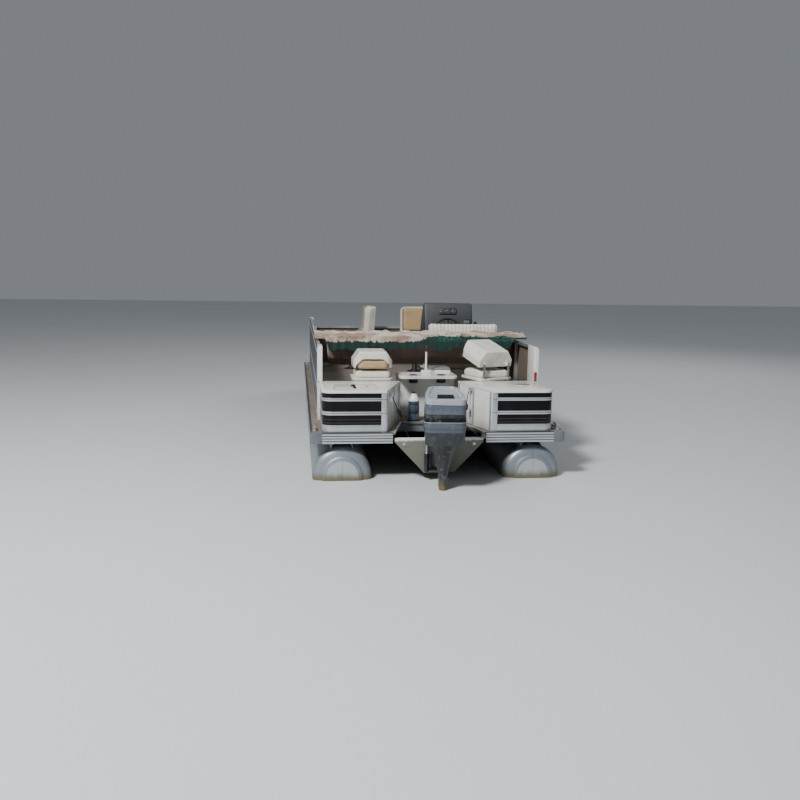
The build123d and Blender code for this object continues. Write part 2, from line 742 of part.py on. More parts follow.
def bow_run(x0, length, build):
    """Build a run along +X whose skin side faces forward."""
    height = BOW_FENCE_TOP - DECK_TOP - FENCE_FOOT
    pieces = build(length, height)
    pieces = pieces if isinstance(pieces, list) else [pieces]
    placed = []
    for piece in pieces:
        flipped = mirror(piece, about=Plane.XZ)
        placed.append(Pos(x0, along(FENCE_BOW_AT) - SKIN, DECK_TOP + FENCE_FOOT) * flipped)
    return placed


# Fence runs along the sides: side, start ahead of the stern, length
SIDE_RUNS = (
    (1, FENCE_AFT_AT, FENCE_BOW_AT - FENCE_AFT_AT - BOW_CORNER),
    (-1, FENCE_AFT_AT, PORT_GATE_AT - GATE_GAP - FENCE_AFT_AT),
    (-1, PORT_GATE_AT + PORT_GATE_WIDTH + GATE_GAP,
     FENCE_BOW_AT - BOW_CORNER - PORT_GATE_AT - PORT_GATE_WIDTH - GATE_GAP),
)
BOW_RUN_INNER = BOW_GATE_WIDTH / 2 + GATE_GAP
BOW_RUN_LENGTH = FENCE_OUTER - BOW_CORNER - BOW_RUN_INNER


def fence_parts(build):
    pieces = []
    for side, y_at, length in SIDE_RUNS:
        pieces = pieces + side_run(side, y_at, length, build)
    pieces = pieces + bow_run(BOW_RUN_INNER, BOW_RUN_LENGTH, build)
    pieces = pieces + bow_run(-BOW_RUN_INNER - BOW_RUN_LENGTH, BOW_RUN_LENGTH, build)
    return pieces


def fence_ends():
    """White ends: two beside the aft chairs, reaching on to the box tops, and two at the bow corners."""
    top = FENCE_TOP + 4
    inner = FENCE_OUTER - END_WIDTH
    aft = block(inner, FENCE_OUTER, along(END_AT), along(FENCE_AFT_AT), BOX_TOP, top)
    crown = aft.edges().filter_by(Axis.Y).sort_by_distance(Vector(FENCE_OUTER, along(END_AT), top))[0]
    aft = fillet(crown, END_RADIUS)
    ahead = BOX_FRONT_AT + 1
    aft = aft + block(inner, FENCE_OUTER, along(ahead), along(FENCE_AFT_AT), DECK_TOP, BOX_TOP)
    width, depth, height = LENS
    aft = aft + block(inner, inner + width, along(END_AT) - depth, along(END_AT), BOX_TOP, BOX_TOP + height)
    bow_y = along(FENCE_BOW_AT)
    fore = block(FENCE_OUTER - BOW_CORNER, FENCE_OUTER, bow_y - BOW_CORNER, bow_y, DECK_TOP, top)
    corner = fore.edges().filter_by(Axis.Z).sort_by_distance(Vector(FENCE_OUTER, bow_y, DECK_TOP))[0]
    fore = fillet(corner, BOW_CORNER - 10)
    return [aft, mirrored(aft), fore, mirrored(fore)]


def gate(length, height):
    """Framed gate from 0 to length along X, with its sheet and strips fused on."""
    leaf = fence_panel(length, height) + fence_skin(length, height)
    for strip in fence_strip(length, height):
        leaf = leaf + strip
    return leaf


def gate_bow():
    return bow_run(-BOW_GATE_WIDTH / 2, BOW_GATE_WIDTH, gate)[0]


def gate_port():
    return side_run(-1, PORT_GATE_AT, PORT_GATE_WIDTH, gate)[0]


def dash_point(rise):
    """Y and Z on the sloping dash, a distance up it from its foot."""
    lean = math.radians(DASH_LEAN)
    return along(CONSOLE_AT) + rise * math.sin(lean), DASH_FOOT + rise * math.cos(lean)


def console_cabinet():
    rise = (CONSOLE_TOP - DASH_FOOT) / math.cos(math.radians(DASH_LEAN))
    top_y, top_z = dash_point(rise)
    rear = along(CONSOLE_AT)
    front = rear + CONSOLE_DEPTH
    outline = ((rear + 60, DECK_TOP), (rear, DASH_FOOT - 60), (rear, DASH_FOOT), (top_y, top_z),
               (top_y + 90, top_z), (front, DASH_FOOT + 180), (front, DECK_TOP))
    half = CONSOLE_WIDTH / 2
    cabinet = prism_x(outline, CONSOLE_X - half, CONSOLE_X + half)
    crown = cabinet.edges().filter_by(Axis.X).sort_by(Axis.Z)[-2:]
    return fillet(crown, 30)


def dash_plane(rise, x=0.0):
    """Plane on the dash face: its normal points aft and up at the driver."""
    lean = math.radians(DASH_LEAN)
    y, z = dash_point(rise)
    return Plane(origin=(x, y, z), x_dir=(1, 0, 0), z_dir=(0, -math.cos(lean), math.sin(lean)))


def console_dash():
    """Instrument panel and switch panel on the dash face."""
    panels = []
    for rise, x, width, height, thickness in DASH_PANELS:
        panels.append(extrude(dash_plane(rise, x) * RectangleRounded(width, height, 10), thickness))
    return panels


def wheel_rise():
    lean = math.radians(DASH_LEAN)
    return (WHEEL_Z - WHEEL_STANDOFF * math.sin(lean) - DASH_FOOT) / math.cos(lean)


def steering_column():
    radius, length = COLUMN_BASE
    plane = dash_plane(wheel_rise(), WHEEL_X)
    neck_length = WHEEL_STANDOFF - WHEEL_HUB[1] / 2 - 8
    return extrude(plane * Circle(radius), length) + extrude(plane * Circle(COLUMN_RADIUS), neck_length)


def steering_wheel():
    """Flat-sided rim on three spokes and a hub."""
    height = 2 * WHEEL_RIM
    hub_radius, hub_length = WHEEL_HUB
    spoke_width, spoke_thickness = WHEEL_SPOKE
    wheel = Cylinder(WHEEL_RADIUS + WHEEL_RIM, height) - Cylinder(WHEEL_RADIUS - WHEEL_RIM, height)
    wheel = wheel + Pos(0, 0, -6) * Cylinder(hub_radius, hub_length)
    for angle in (90, 210, 330):
        spoke = Pos(WHEEL_RADIUS / 2, 0, -4) * Box(WHEEL_RADIUS, spoke_width, spoke_thickness)
        wheel = wheel + Rot(0, 0, angle) * spoke
    return dash_plane(wheel_rise(), WHEEL_X).offset(WHEEL_STANDOFF) * wheel


def control_box():
    """Throttle and shift box on the console's outboard side, its lever upright."""
    width, depth, height = CONTROL_SIZE
    x = CONSOLE_X + CONSOLE_WIDTH / 2
    y = along(CONSOLE_AT) + 60
    z = DASH_FOOT - 40
    middle = x + width / 2
    case = block(x, x + width, y, y + depth, z, z + height)
    case = chamfer(case.edges().filter_by(Axis.X), 25)
    top = z + height + LEVER_RISE
    knob_radius, knob_height = KNOB
    lever = bar(((middle, y + depth / 2, z + height - 5), (middle, y + 30, top)), LEVER_RADIUS)
    return case + lever + Pos(middle, y + 30, top + 5) * Cylinder(knob_radius, knob_height)


def bench_block(inset, aft, fore, z0, z1):
    """Block over the bench's width, between two distances ahead of the bench's back."""
    half = BENCH_WIDTH / 2 - inset
    return block(BENCH_X - half, BENCH_X + half, along(BENCH_AT + aft), along(BENCH_AT + fore), z0, z1)


def bench_base():
    top = DECK_TOP + BENCH_BASE_HEIGHT
    fore = BENCH_DEPTH - 2 * BENCH_BASE_INSET
    box = bench_block(BENCH_BASE_INSET, BENCH_BACK_THICKNESS, fore, DECK_TOP, top)
    return box + bench_block(0, 0, BENCH_DEPTH, top, top + BENCH_TRAY)


def bench_seat_pad():
    z0 = DECK_TOP + BENCH_BASE_HEIGHT + BENCH_TRAY
    pad = bench_block(0, BENCH_BACK_THICKNESS + SOFT_GAP, BENCH_DEPTH, z0, z0 + BENCH_PAD)
    return chamfer(pad.faces().sort_by(Axis.Z)[-1].edges(), 18)


def bench_back_pad():
    pad = bench_block(0, 0, BENCH_BACK_THICKNESS, DECK_TOP + BENCH_BASE_HEIGHT + BENCH_TRAY, BENCH_BACK_TOP)
    return fillet(pad.faces().sort_by(Axis.Z)[-1].edges().filter_by(Axis.X), 50)


def chair_place(x, y_at, heading):
    return Pos(x, along(y_at), DECK_TOP) * Rot(0, 0, -heading)


def chair_post():
    """Fixed pedestal: deck plate, foot ring and column."""
    plate = extrude(RegularPolygon(POST_PLATE / 2, POST_FACETS), POST_THICKNESS)
    ring = extrude(RegularPolygon(POST_RADIUS * 1.6, POST_FACETS), POST_THICKNESS * 3)
    return plate + ring + extrude(RegularPolygon(POST_RADIUS, POST_FACETS), SEAT_BOTTOM - SWIVEL_HEIGHT)


def seat_outline(inset, rear, front):
    """Plan of the seat with rounded corners, drawn in by an inset at the sides."""
    half = SEAT_WIDTH / 2 - inset
    return rounded(((-half, rear), (half, rear), (half, front), (-half, front)), SEAT_CORNER - inset)


def seat_shell():
    """Seat tray with the swivel plate below and the two hinge arms behind."""
    tray = prism_z(seat_outline(0, -SEAT_DEPTH / 2, SEAT_DEPTH / 2), SEAT_BOTTOM, SEAT_BOTTOM + SEAT_SHELL)
    plane = Plane.XY.offset(SEAT_BOTTOM - SWIVEL_HEIGHT)
    shell = tray + extrude(plane * RegularPolygon(SWIVEL_RADIUS, POST_FACETS), SWIVEL_HEIGHT)
    aft = BACK_HINGE_Y - ARM_HALF
    fore = BACK_HINGE_Y + ARM_HALF
    top = BACK_HINGE_Z + ARM_HALF
    outline = ((aft, top), (fore, top), (fore, SEAT_BOTTOM), (aft, SEAT_BOTTOM + 30))
    inner = HINGE_HALF - ARM_THICKNESS
    for side in (-1, 1):
        x0, x1 = sorted((side * inner, side * HINGE_HALF))
        pin = rod((side * (inner - LUG_WIDTH), BACK_HINGE_Y, BACK_HINGE_Z),
                  (side * (inner + 1), BACK_HINGE_Y, BACK_HINGE_Z), HINGE_PIN)
        shell = shell + prism_x(outline, x0, x1) + pin
    return shell


def seat_pad():
    z0 = SEAT_BOTTOM + SEAT_SHELL + SOFT_GAP
    pad = prism_z(seat_outline(SEAT_PAD_INSET, BACK_HINGE_Y + 18, SEAT_DEPTH / 2 - 3), z0, z0 + SEAT_PAD)
    return chamfer(pad.faces().sort_by(Axis.Z)[-1].edges(), SEAT_PAD_EDGE)


def back_mask(half, z0, z1, corner):
    """Block with its upper corners rounded, seen from the front."""
    aft = -BACK_DEPTH - 50
    fore = BACK_FRONT + 50
    low = z0 - 2 * corner
    outline = rounded(((-half, low), (half, low), (half, z1), (-half, z1)), corner)
    return prism_y(outline, aft, fore) & block(-half, half, aft, fore, z0, z1)


def back_shell():
    """Shell of the back, open to the front and top, with two hinge lugs; the hinge is the local origin."""
    half = BACK_WIDTH / 2
    crown = BACK_CROWN / 2
    rim = half - BACK_RIM
    hollow = rim * BACK_TAPER
    top = BACK_FOOT + BACK_HEIGHT
    outside = ((-half, BACK_FRONT), (-half, -BACK_SHOULDER), (-crown, -BACK_DEPTH), (crown, -BACK_DEPTH),
               (half, -BACK_SHOULDER), (half, BACK_FRONT))
    inside = ((-rim, BACK_FRONT + 1), (-rim, 0), (-hollow, -BACK_PAD_SAG), (hollow, -BACK_PAD_SAG),
              (rim, 0), (rim, BACK_FRONT + 1))
    shell = prism_z(outside, BACK_FOOT, top) - prism_z(inside, BACK_FOOT + BACK_RIM / 2, top + 1)
    shell = shell & back_mask(half, BACK_FOOT, top, BACK_CORNER)
    lug_outline = ((-26, BACK_FOOT + 2), (-12, -12), (12, -12), (12, BACK_FOOT + 2))
    outer = HINGE_HALF - ARM_THICKNESS - HINGE_SIDE_GAP
    for side in (-1, 1):
        x0, x1 = sorted((side * (outer - LUG_WIDTH), side * outer))
        bore = rod((x0 - 1, 0, 0), (x1 + 1, 0, 0), HINGE_PIN + FIT)
        shell = shell + (prism_x(lug_outline, x0, x1) - bore)
    return shell


def back_pad():
    """Cushion in the shell's hollow, standing a little proud of its front."""
    rim = BACK_WIDTH / 2 - BACK_RIM - PAD_GAP
    hollow = rim * BACK_TAPER
    sag = BACK_PAD_SAG - PAD_GAP
    z0 = BACK_FOOT + BACK_RIM / 2 + PAD_GAP
    z1 = BACK_FOOT + BACK_HEIGHT - 6
    outline = ((-rim, BACK_FRONT), (-rim, PAD_GAP), (PAD_GAP - hollow, -sag), (hollow - PAD_GAP, -sag),
               (rim, PAD_GAP), (rim, BACK_FRONT), (hollow, BACK_PAD_FRONT), (-hollow, BACK_PAD_FRONT))
    return prism_z(outline, z0, z1) & back_mask(rim, z0, z1, BACK_CORNER - 15)


def back_place(lean):
    return Pos(0, BACK_HINGE_Y, BACK_HINGE_Z) * Rot(lean, 0, 0)


def stern_light():
    """Pole light on its socket at the forward edge of the shelf."""
    y = along(LIGHT_AT)
    width, depth, height = LIGHT_FOOT
    foot = Pos(LIGHT_X, y, STATION_TOP + height / 2) * Box(width, depth, height)
    top = STATION_TOP + LIGHT_HEIGHT
    lamp_radius, lamp_height = LAMP
    pole = rod((LIGHT_X, y, STATION_TOP + height - 2), (LIGHT_X, y, top - lamp_height), LIGHT_RADIUS)
    return foot + pole + rod((LIGHT_X, y, top - lamp_height), (LIGHT_X, y, top), lamp_radius)


def oil_bottle():
    """Oil bottle on its tray, with a cone cap and knob."""
    z0 = DECK_TOP + BOTTLE_TRAY
    radius = BOTTLE_RADIUS
    shoulder = z0 + BOTTLE_HEIGHT * 0.68
    neck = z0 + BOTTLE_HEIGHT * 0.92
    foot_ring = Plane.XY.offset(shoulder) * RegularPolygon(radius, BOTTLE_FACETS)
    top_ring = Plane.XY.offset(neck) * RegularPolygon(BOTTLE_KNOB * 1.5, BOTTLE_FACETS)
    bottle = rod((0, 0, z0), (0, 0, shoulder), radius) + loft([foot_ring, top_ring])
    bottle = bottle + rod((0, 0, neck), (0, 0, z0 + BOTTLE_HEIGHT), BOTTLE_KNOB)
    half = radius + 6
    return Pos(BOTTLE_X, along(BOTTLE_AT), 0) * (bottle + block(-half, half, -half, half, DECK_TOP, z0))


def cleat(x, y):
    foot = Pos(x, y, DECK_TOP + CLEAT_FOOT[2] / 2) * Box(*CLEAT_FOOT)
    post = Pos(x, y, DECK_TOP + 4 + CLEAT_POST[2] / 2) * Box(*CLEAT_POST)
    z = DECK_TOP + 4 + CLEAT_POST[2] + CLEAT_HORN / 2
    horn = Rot(90, 0, 0) * extrude(RegularPolygon(CLEAT_HORN, 6), CLEAT_LENGTH / 2, both=True)
    return foot + post + Pos(x, y, z) * horn


def cleats():
    x = DECK_BEAM / 2 - 42
    pieces = []
    for y_at in (170, DECK_LENGTH - 260):
        pieces.append(cleat(x, along(y_at)))
        pieces.append(cleat(-x, along(y_at)))
    return pieces


def canopy_brackets():
    """Forks on the fence tops that carry the canopy's pivots."""
    pieces = []
    y = along(CANOPY_PIVOT_AT)
    ear_thickness, ear_width = BRACKET_EAR
    top = CANOPY_PIVOT_Z + ear_width / 2
    inner = CANOPY_HALF - CANOPY_TUBE
    outer = CANOPY_HALF + CANOPY_TUBE
    for side in (-1, 1):
        fork = Pos(side * CANOPY_HALF, y, FENCE_TOP + BRACKET_FOOT[2] / 2) * Box(*BRACKET_FOOT)
        for ear_x in (inner - 6, outer + 6):
            ear = Box(ear_thickness, ear_width, top - FENCE_TOP)
            fork = fork + Pos(side * ear_x, y, (FENCE_TOP + top) / 2) * ear
        pin_start = (side * (inner - 8), y, CANOPY_PIVOT_Z)
        pin_end = (side * (outer + 8), y, CANOPY_PIVOT_Z)
        pieces.append(fork + rod(pin_start, pin_end, CANOPY_PIN))
    return pieces


def canopy_bow():
    """Main bow: two legs along the fence tops joined by a bent crossbar."""
    z = CANOPY_PIVOT_Z
    near = along(CANOPY_NEAR_AT) + CANOPY_INSET
    pivot_y = along(CANOPY_PIVOT_AT)
    slack = CANOPY_BEND * 0.3
    turn = CANOPY_HALF - CANOPY_BEND
    corner = ((turn, near), (CANOPY_HALF - slack, near + slack), (CANOPY_HALF, near + CANOPY_BEND))
    starboard = [(x, y, z) for x, y in corner]
    port = [(-x, y, z) for x, y in reversed(corner)]
    return bar([(-CANOPY_HALF, pivot_y, z), *port, *starboard, (CANOPY_HALF, pivot_y, z)], CANOPY_TUBE)


def canopy_bars(radius):
    """Crossbars of the two folded inner bows."""
    near = along(CANOPY_NEAR_AT) + CANOPY_INSET
    bars = []
    for ahead in CANOPY_BAR_GAPS:
        ends = ((-CANOPY_HALF, near + ahead, CANOPY_PIVOT_Z), (CANOPY_HALF, near + ahead, CANOPY_PIVOT_Z))
        bars.append(bar(ends, radius))
    return bars


def canopy_frame():
    """Folded bows with an eye at each pivot."""
    pivot_y = along(CANOPY_PIVOT_AT)
    z = CANOPY_PIVOT_Z
    frame = canopy_bow()
    for crossbar in canopy_bars(CANOPY_TUBE - 1.5):
        frame = frame + crossbar
    for side in (-1, 1):
        x = side * CANOPY_HALF
        frame = frame + Pos(x, pivot_y, z) * Rot(0, 90, 0) * Cylinder(CANOPY_EYE, 2 * CANOPY_TUBE - 6)
        frame = frame - rod((x - 30, pivot_y, z), (x + 30, pivot_y, z), CANOPY_PIN + FIT)
    return frame


def canopy_cloth():
    """Gathered cloth: a flat roll over the fences and a belly that sags between them."""
    near = along(CANOPY_NEAR_AT)
    far = along(CANOPY_FAR_AT)
    run = far - near
    over = ((near, CANOPY_ROLL_FOOT), (near + 10, CANOPY_TOP - 30), (near + run * 0.15, CANOPY_TOP),
            (near + run * 0.85, CANOPY_TOP), (far, CANOPY_TOP - 35), (far, CANOPY_ROLL_FOOT))
    overlap = CANOPY_ROLL_FOOT + 8
    under = ((near, CANOPY_SKIRT), (near, overlap), (far, overlap), (far, CANOPY_SKIRT + 20),
             (far - run * 0.2, CANOPY_BELLY + 25), (near + run * 0.42, CANOPY_BELLY),
             (near + run * 0.16, CANOPY_SKIRT - 10))
    cloth = prism_x(over, -CANOPY_CLOTH_PORT, CANOPY_CLOTH_STARBOARD)
    cloth = cloth + prism_x(under, -CANOPY_BELLY_HALF, CANOPY_BELLY_HALF)
    reach = CANOPY_TUBE + CANOPY_GAP
    half = CANOPY_HALF + reach
    z0 = CANOPY_PIVOT_Z - reach
    z1 = CANOPY_PIVOT_Z + reach
    bar_y = near + CANOPY_INSET
    for ahead in (0, *CANOPY_BAR_GAPS):
        cloth = cloth - block(-half, half, bar_y + ahead - reach, bar_y + ahead + reach, z0, z1)
    for side in (-1, 1):
        x0, x1 = sorted((side * (CANOPY_HALF - CANOPY_BEND), side * half))
        cloth = cloth - block(x0, x1, bar_y - reach, bar_y + CANOPY_BEND, z0, z1)
        x0, x1 = sorted((side * (CANOPY_HALF - reach), side * half))
        cloth = cloth - block(x0, x1, bar_y, far + 1, z0, z1)
    return cloth


def motor_clamp():
    """Clamp plates that hook over the transom, the tilt tube and the trim cylinder."""
    aft = along(TRANSOM_AT)
    fore = aft + TRANSOM_THICKNESS
    top = TRANSOM_TOP
    outline = ((aft, top), (fore, top), (fore, top - 90), (fore + 20, top - 90), (fore + 20, top + 18),
               (aft - 20, top + 46), (aft - 76, top + 46), (aft - 76, top - 40), (aft - 34, 120), (aft, 90))
    plate = prism_x(outline, CLAMP_HALF, CLAMP_HALF + CLAMP_PLATE)
    clamp = plate + mirrored(plate)
    y = along(TILT_AT)
    reach = CLAMP_HALF + CLAMP_PLATE + 14
    clamp = clamp + rod((-reach, y, TILT_Z), (reach, y, TILT_Z), TILT_TUBE)
    foot_z, foot_height = CLAMP_FOOT
    clamp = clamp + block(-CLAMP_HALF - 1, CLAMP_HALF + 1, aft - 22, aft, foot_z, foot_z + foot_height)
    eye_z, eye_height = TRIM_EYE
    radius, length = TRIM_BARREL
    cylinder_x = -(CLAMP_HALF + CLAMP_PLATE + radius + 4)
    barrel = rod((cylinder_x, aft - 34, foot_z - 6), (cylinder_x, aft - 34, foot_z - 6 + length), radius)
    plunger = rod((cylinder_x, aft - 34, foot_z + length - 20), (cylinder_x, aft - 34, eye_z + 6), 9)
    eye = block(cylinder_x - 14, -CLAMP_HALF, aft - 48, aft - 20, eye_z, eye_z + eye_height)
    lower = block(cylinder_x - 14, -CLAMP_HALF, aft - 50, aft - 18, foot_z + 8, foot_z + foot_height)
    return clamp + barrel + plunger + eye + lower


def motor_swivel():
    """Swivel bracket: tilt hub, steering tube and the web between them."""
    y = along(TILT_AT)
    pin_y = along(STEER_AT)
    half = CLAMP_HALF - 6
    hub = rod((-half, y, TILT_Z), (half, y, TILT_Z), 30)
    tube = rod((0, pin_y, YOKE_FOOT + YOKE_THICKNESS + 4), (0, pin_y, YOKE_TOP - YOKE_THICKNESS - 2), 27)
    web = block(-half + 8, half - 8, pin_y, y, 330, TILT_Z)
    lower_web = block(-14, 14, pin_y, y - 6, 130, 331)
    bracket = hub + tube + web + lower_web
    bracket = bracket - rod((-half - 1, y, TILT_Z), (half + 1, y, TILT_Z), TILT_TUBE + FIT)
    return bracket - rod((0, pin_y, YOKE_FOOT), (0, pin_y, YOKE_TOP), STEER_PIN + FIT)


def cowl_plan(inset):
    """Plan of the cowl drawn in by an inset: wide and square aft, narrower forward."""
    wide = COWL_WIDTH / 2 - inset
    narrow = COWL_FRONT_WIDTH / 2 - inset
    aft = along(COWL_AFT_AT) + inset
    fore = along(COWL_FORE_AT) - inset
    shoulder = along(COWL_AFT_AT) + COWL_SHOULDER - inset
    corners = ((-wide, aft), (wide, aft), (wide, shoulder), (narrow, fore), (-narrow, fore),
               (-wide, shoulder))
    return rounded(corners, COWL_CORNER)


def cowl_ring(inset, z):
    return Plane.XY.offset(z) * make_face(Polyline(*cowl_plan(inset), close=True))


def over_cowl(drop):
    """Everything above the cowl's sloping top, or above a plane a drop below it."""
    aft = along(COWL_AFT_AT)
    fore = along(COWL_FORE_AT)
    high = COWL_FORE_TOP + 200
    return prism_x(((aft, COWL_AFT_TOP - drop), (fore, COWL_FORE_TOP - drop), (fore, high), (aft, high)),
                   -COWL_WIDTH, COWL_WIDTH)


def cowl_top():
    """Hollow upper cowl with the lifting recess near its aft edge."""
    rings = [cowl_ring(0, COWL_SPLIT), cowl_ring(COWL_DRAFT, COWL_FORE_TOP + 20)]
    form = loft(rings, ruled=True) - over_cowl(0)
    form = chamfer(form.faces().sort_by(Axis.Z)[-1].edges(), COWL_EDGE)
    room = prism_z(cowl_plan(COWL_WALL + COWL_DRAFT), COWL_SPLIT - 1, COWL_FORE_TOP)
    room = room - over_cowl(2 * COWL_WALL)
    slope = (COWL_FORE_TOP - COWL_AFT_TOP) / (COWL_FORE_AT - COWL_AFT_AT)
    y = along(COWL_AFT_AT) + RECESS_AT
    z = COWL_AFT_TOP + RECESS_AT * slope
    width, depth, drop = RECESS
    rim = 2 * COWL_WALL
    tray = Pos(0, y, z - drop / 2 - COWL_WALL) * Box(width + rim, depth + rim, drop + COWL_WALL)
    return (form - room + tray) - Pos(0, y, z) * Box(width, depth, 2 * drop)


def cowl_pan():
    """Lower cowl: from the split line down to the narrow chin."""
    pan = loft([cowl_ring(PAN_INSET, COWL_BOTTOM), cowl_ring(0, COWL_SPLIT - 0.5)], ruled=True)
    fore = along(COWL_FORE_AT)
    chin_fore, chin_aft = PAN_CHIN
    chin = ((fore + 60, COWL_FORE_BOTTOM), (fore - chin_fore, COWL_FORE_BOTTOM),
            (fore - chin_aft, COWL_BOTTOM - 1), (fore + 60, COWL_BOTTOM - 1))
    below = prism_x(chin, -COWL_WIDTH, COWL_WIDTH)
    return pan - below


def engine_block():
    middle = along((COWL_AFT_AT + COWL_FORE_AT) / 2)
    width, depth, height = ENGINE
    return Pos(0, middle - 15, COWL_SPLIT + height / 2) * Box(width, depth, height)


def leg_ring(z, half, length, middle):
    """Section of the leg with blunt rounded ends."""
    end = ((half, length - half * 0.8), (half * 0.55, length - half * 0.22), (0, length),
           (-half * 0.55, length - half * 0.22), (-half, length - half * 0.8))
    corners = [*end, *[(-x, -y) for x, y in end]]
    return Plane.XY.offset(z) * Pos(0, middle) * make_face(Polyline(*corners, close=True))


# Leg sections: height, half width, half length
LEG_SECTIONS = (
    (COWL_BOTTOM - 1, 150.0, 150.0),
    (395.0, 128.0, 146.0),
    (325.0, 86.0, 136.0),
    (190.0, 52.0, 122.0),
    (100.0, 36.0, 114.0),
    (PLATE_Z, 34.0, 112.0),
    (SHAFT_Z, 30.0, 104.0),
)


def torpedo(tail_y, nose_y):
    """Gearcase body round the propeller shaft, in flat-sided rings."""
    rings = []
    for y, radius in ((tail_y, 36), (tail_y + 60, 54), (nose_y - 110, 54), (nose_y - 40, 36), (nose_y, 10)):
        rings.append(Plane.XZ.offset(-y) * Pos(0, SHAFT_Z) * RegularPolygon(radius, 12))
    return loft(rings, ruled=True)


def motor_leg():
    """Midsection, gearcase, skeg, anti-ventilation plate and the steering pin."""
    pin_y = along(STEER_AT)
    middle = pin_y - LEG_SETBACK
    leg = loft([leg_ring(z, half, length, middle) for z, half, length in LEG_SECTIONS], ruled=True)
    tail_y = middle - GEARCASE_TAIL
    skeg_outline = ((middle + 70, SHAFT_Z), (middle - 70, SKEG_Z),
                    (middle - 130, SKEG_Z), (middle - 110, SHAFT_Z))
    skeg = prism_x(skeg_outline, -SKEG_HALF, SKEG_HALF)
    half, aft, fore, thickness = PLATE
    corners = ((-half, middle - aft), (half, middle - aft), (half, middle + fore), (-half, middle + fore))
    plate = prism_z(rounded(corners, 60), PLATE_Z - thickness / 2, PLATE_Z + thickness / 2)
    leg = leg + torpedo(tail_y, middle + 150) + skeg + plate
    leg = leg + rod((0, pin_y, YOKE_FOOT), (0, pin_y, YOKE_TOP), STEER_PIN)
    for z0 in (YOKE_TOP - YOKE_THICKNESS, YOKE_FOOT):
        leg = leg + block(-YOKE_HALF, YOKE_HALF, middle + 60, pin_y, z0, z0 + YOKE_THICKNESS)
        leg = leg + rod((0, pin_y, z0), (0, pin_y, z0 + YOKE_THICKNESS), YOKE_HALF)
    return leg + rod((0, tail_y + 5, SHAFT_Z), (0, tail_y - 118, SHAFT_Z), SHAFT_RADIUS)


def propeller():
    """Three broad pitched blades on a through-bored hub."""
    tail_y = along(STEER_AT) - LEG_SETBACK - GEARCASE_TAIL
    hub = rod((0, tail_y - 6, SHAFT_Z), (0, tail_y - 112, SHAFT_Z), PROPELLER_HUB)
    tip = PROPELLER_RADIUS
    blade = prism_y(((-24, PROPELLER_HUB - 10), (-50, tip * 0.55), (-44, tip * 0.85), (-16, tip), (16, tip),
                     (44, tip * 0.85), (50, tip * 0.55), (24, PROPELLER_HUB - 10)), -4, 4)
    wheel = hub
    for index in range(PROPELLER_BLADES):
        turn = Rot(0, index * 360 / PROPELLER_BLADES, 0)
        wheel = wheel + Pos(0, tail_y - 60, SHAFT_Z) * turn * Rot(0, 0, BLADE_PITCH) * blade
    return wheel - rod((0, tail_y, SHAFT_Z), (0, tail_y - 140, SHAFT_Z), SHAFT_RADIUS + FIT)


def steered(piece):
    """Turn a piece of the straight motor to where it rests."""
    y = along(STEER_AT)
    return Pos(0, y, 0) * Rot(0, 0, STEER_REST) * Pos(0, -y, 0) * piece


def line_points(route):
    return [Vector(x, along(y_at), z) for x, y_at, z in route]


def line_radii(points):
    """Arc for each corner of a route, as large as its two runs allow."""
    radii = []
    for index in range(1, len(points) - 1):
        into = points[index] - points[index - 1]
        on = points[index + 1] - points[index]
        half_turn = math.radians(into.get_angle(on)) / 2
        radii.append(HOSE_ARC * min(into.length, on.length) / math.tan(half_turn))
    return radii


def fuel_line(route):
    """Hose along its route, and the priming bulb round it."""
    points = line_points(route)
    path = FilletPolyline(*points, radius=line_radii(points))
    hose = sweep(Plane(origin=points[0], z_dir=points[1] - points[0]) * Circle(HOSE_RADIUS), path=path)
    middle = (points[1] + points[2]) / 2
    reach = (points[2] - points[1]).normalized() * (BULB_LENGTH / 2)
    bulb = rod(tuple(middle - reach), tuple(middle + reach), BULB_RADIUS)
    return [hose, bulb - hose]


def line_glands(route):
    """Block and nozzle on the well wall, and the nozzle on the transom's fore face."""
    points = line_points(route)
    side = 1 if points[0].X > 0 else -1
    reach = (points[0] - points[1]).normalized() * GLAND_REACH
    root = points[0] + reach
    nozzle = rod(tuple(root), tuple(points[0]), GLAND_RADIUS)
    spread = WELL_REAR_HALF - WELL_FRONT_HALF
    run = BOX_FRONT_AT - BOX_REAR_AT
    turn = math.degrees(math.atan2(spread, run))
    wall_x = WELL_REAR_HALF - spread * (root.Y - along(BOX_REAR_AT)) / run
    length, depth, height = GLAND_BLOCK
    plate = Pos(side * wall_x, root.Y, root.Z) * Rot(0, 0, side * turn) * Pos(-side * depth / 2, 0, 0) * Box(
        depth, length, height)
    end = points[-1]
    aft = along(TRANSOM_AT + TRANSOM_THICKNESS)
    return [plate + nozzle, rod((end.X, aft, end.Z), tuple(end), GLAND_RADIUS)]


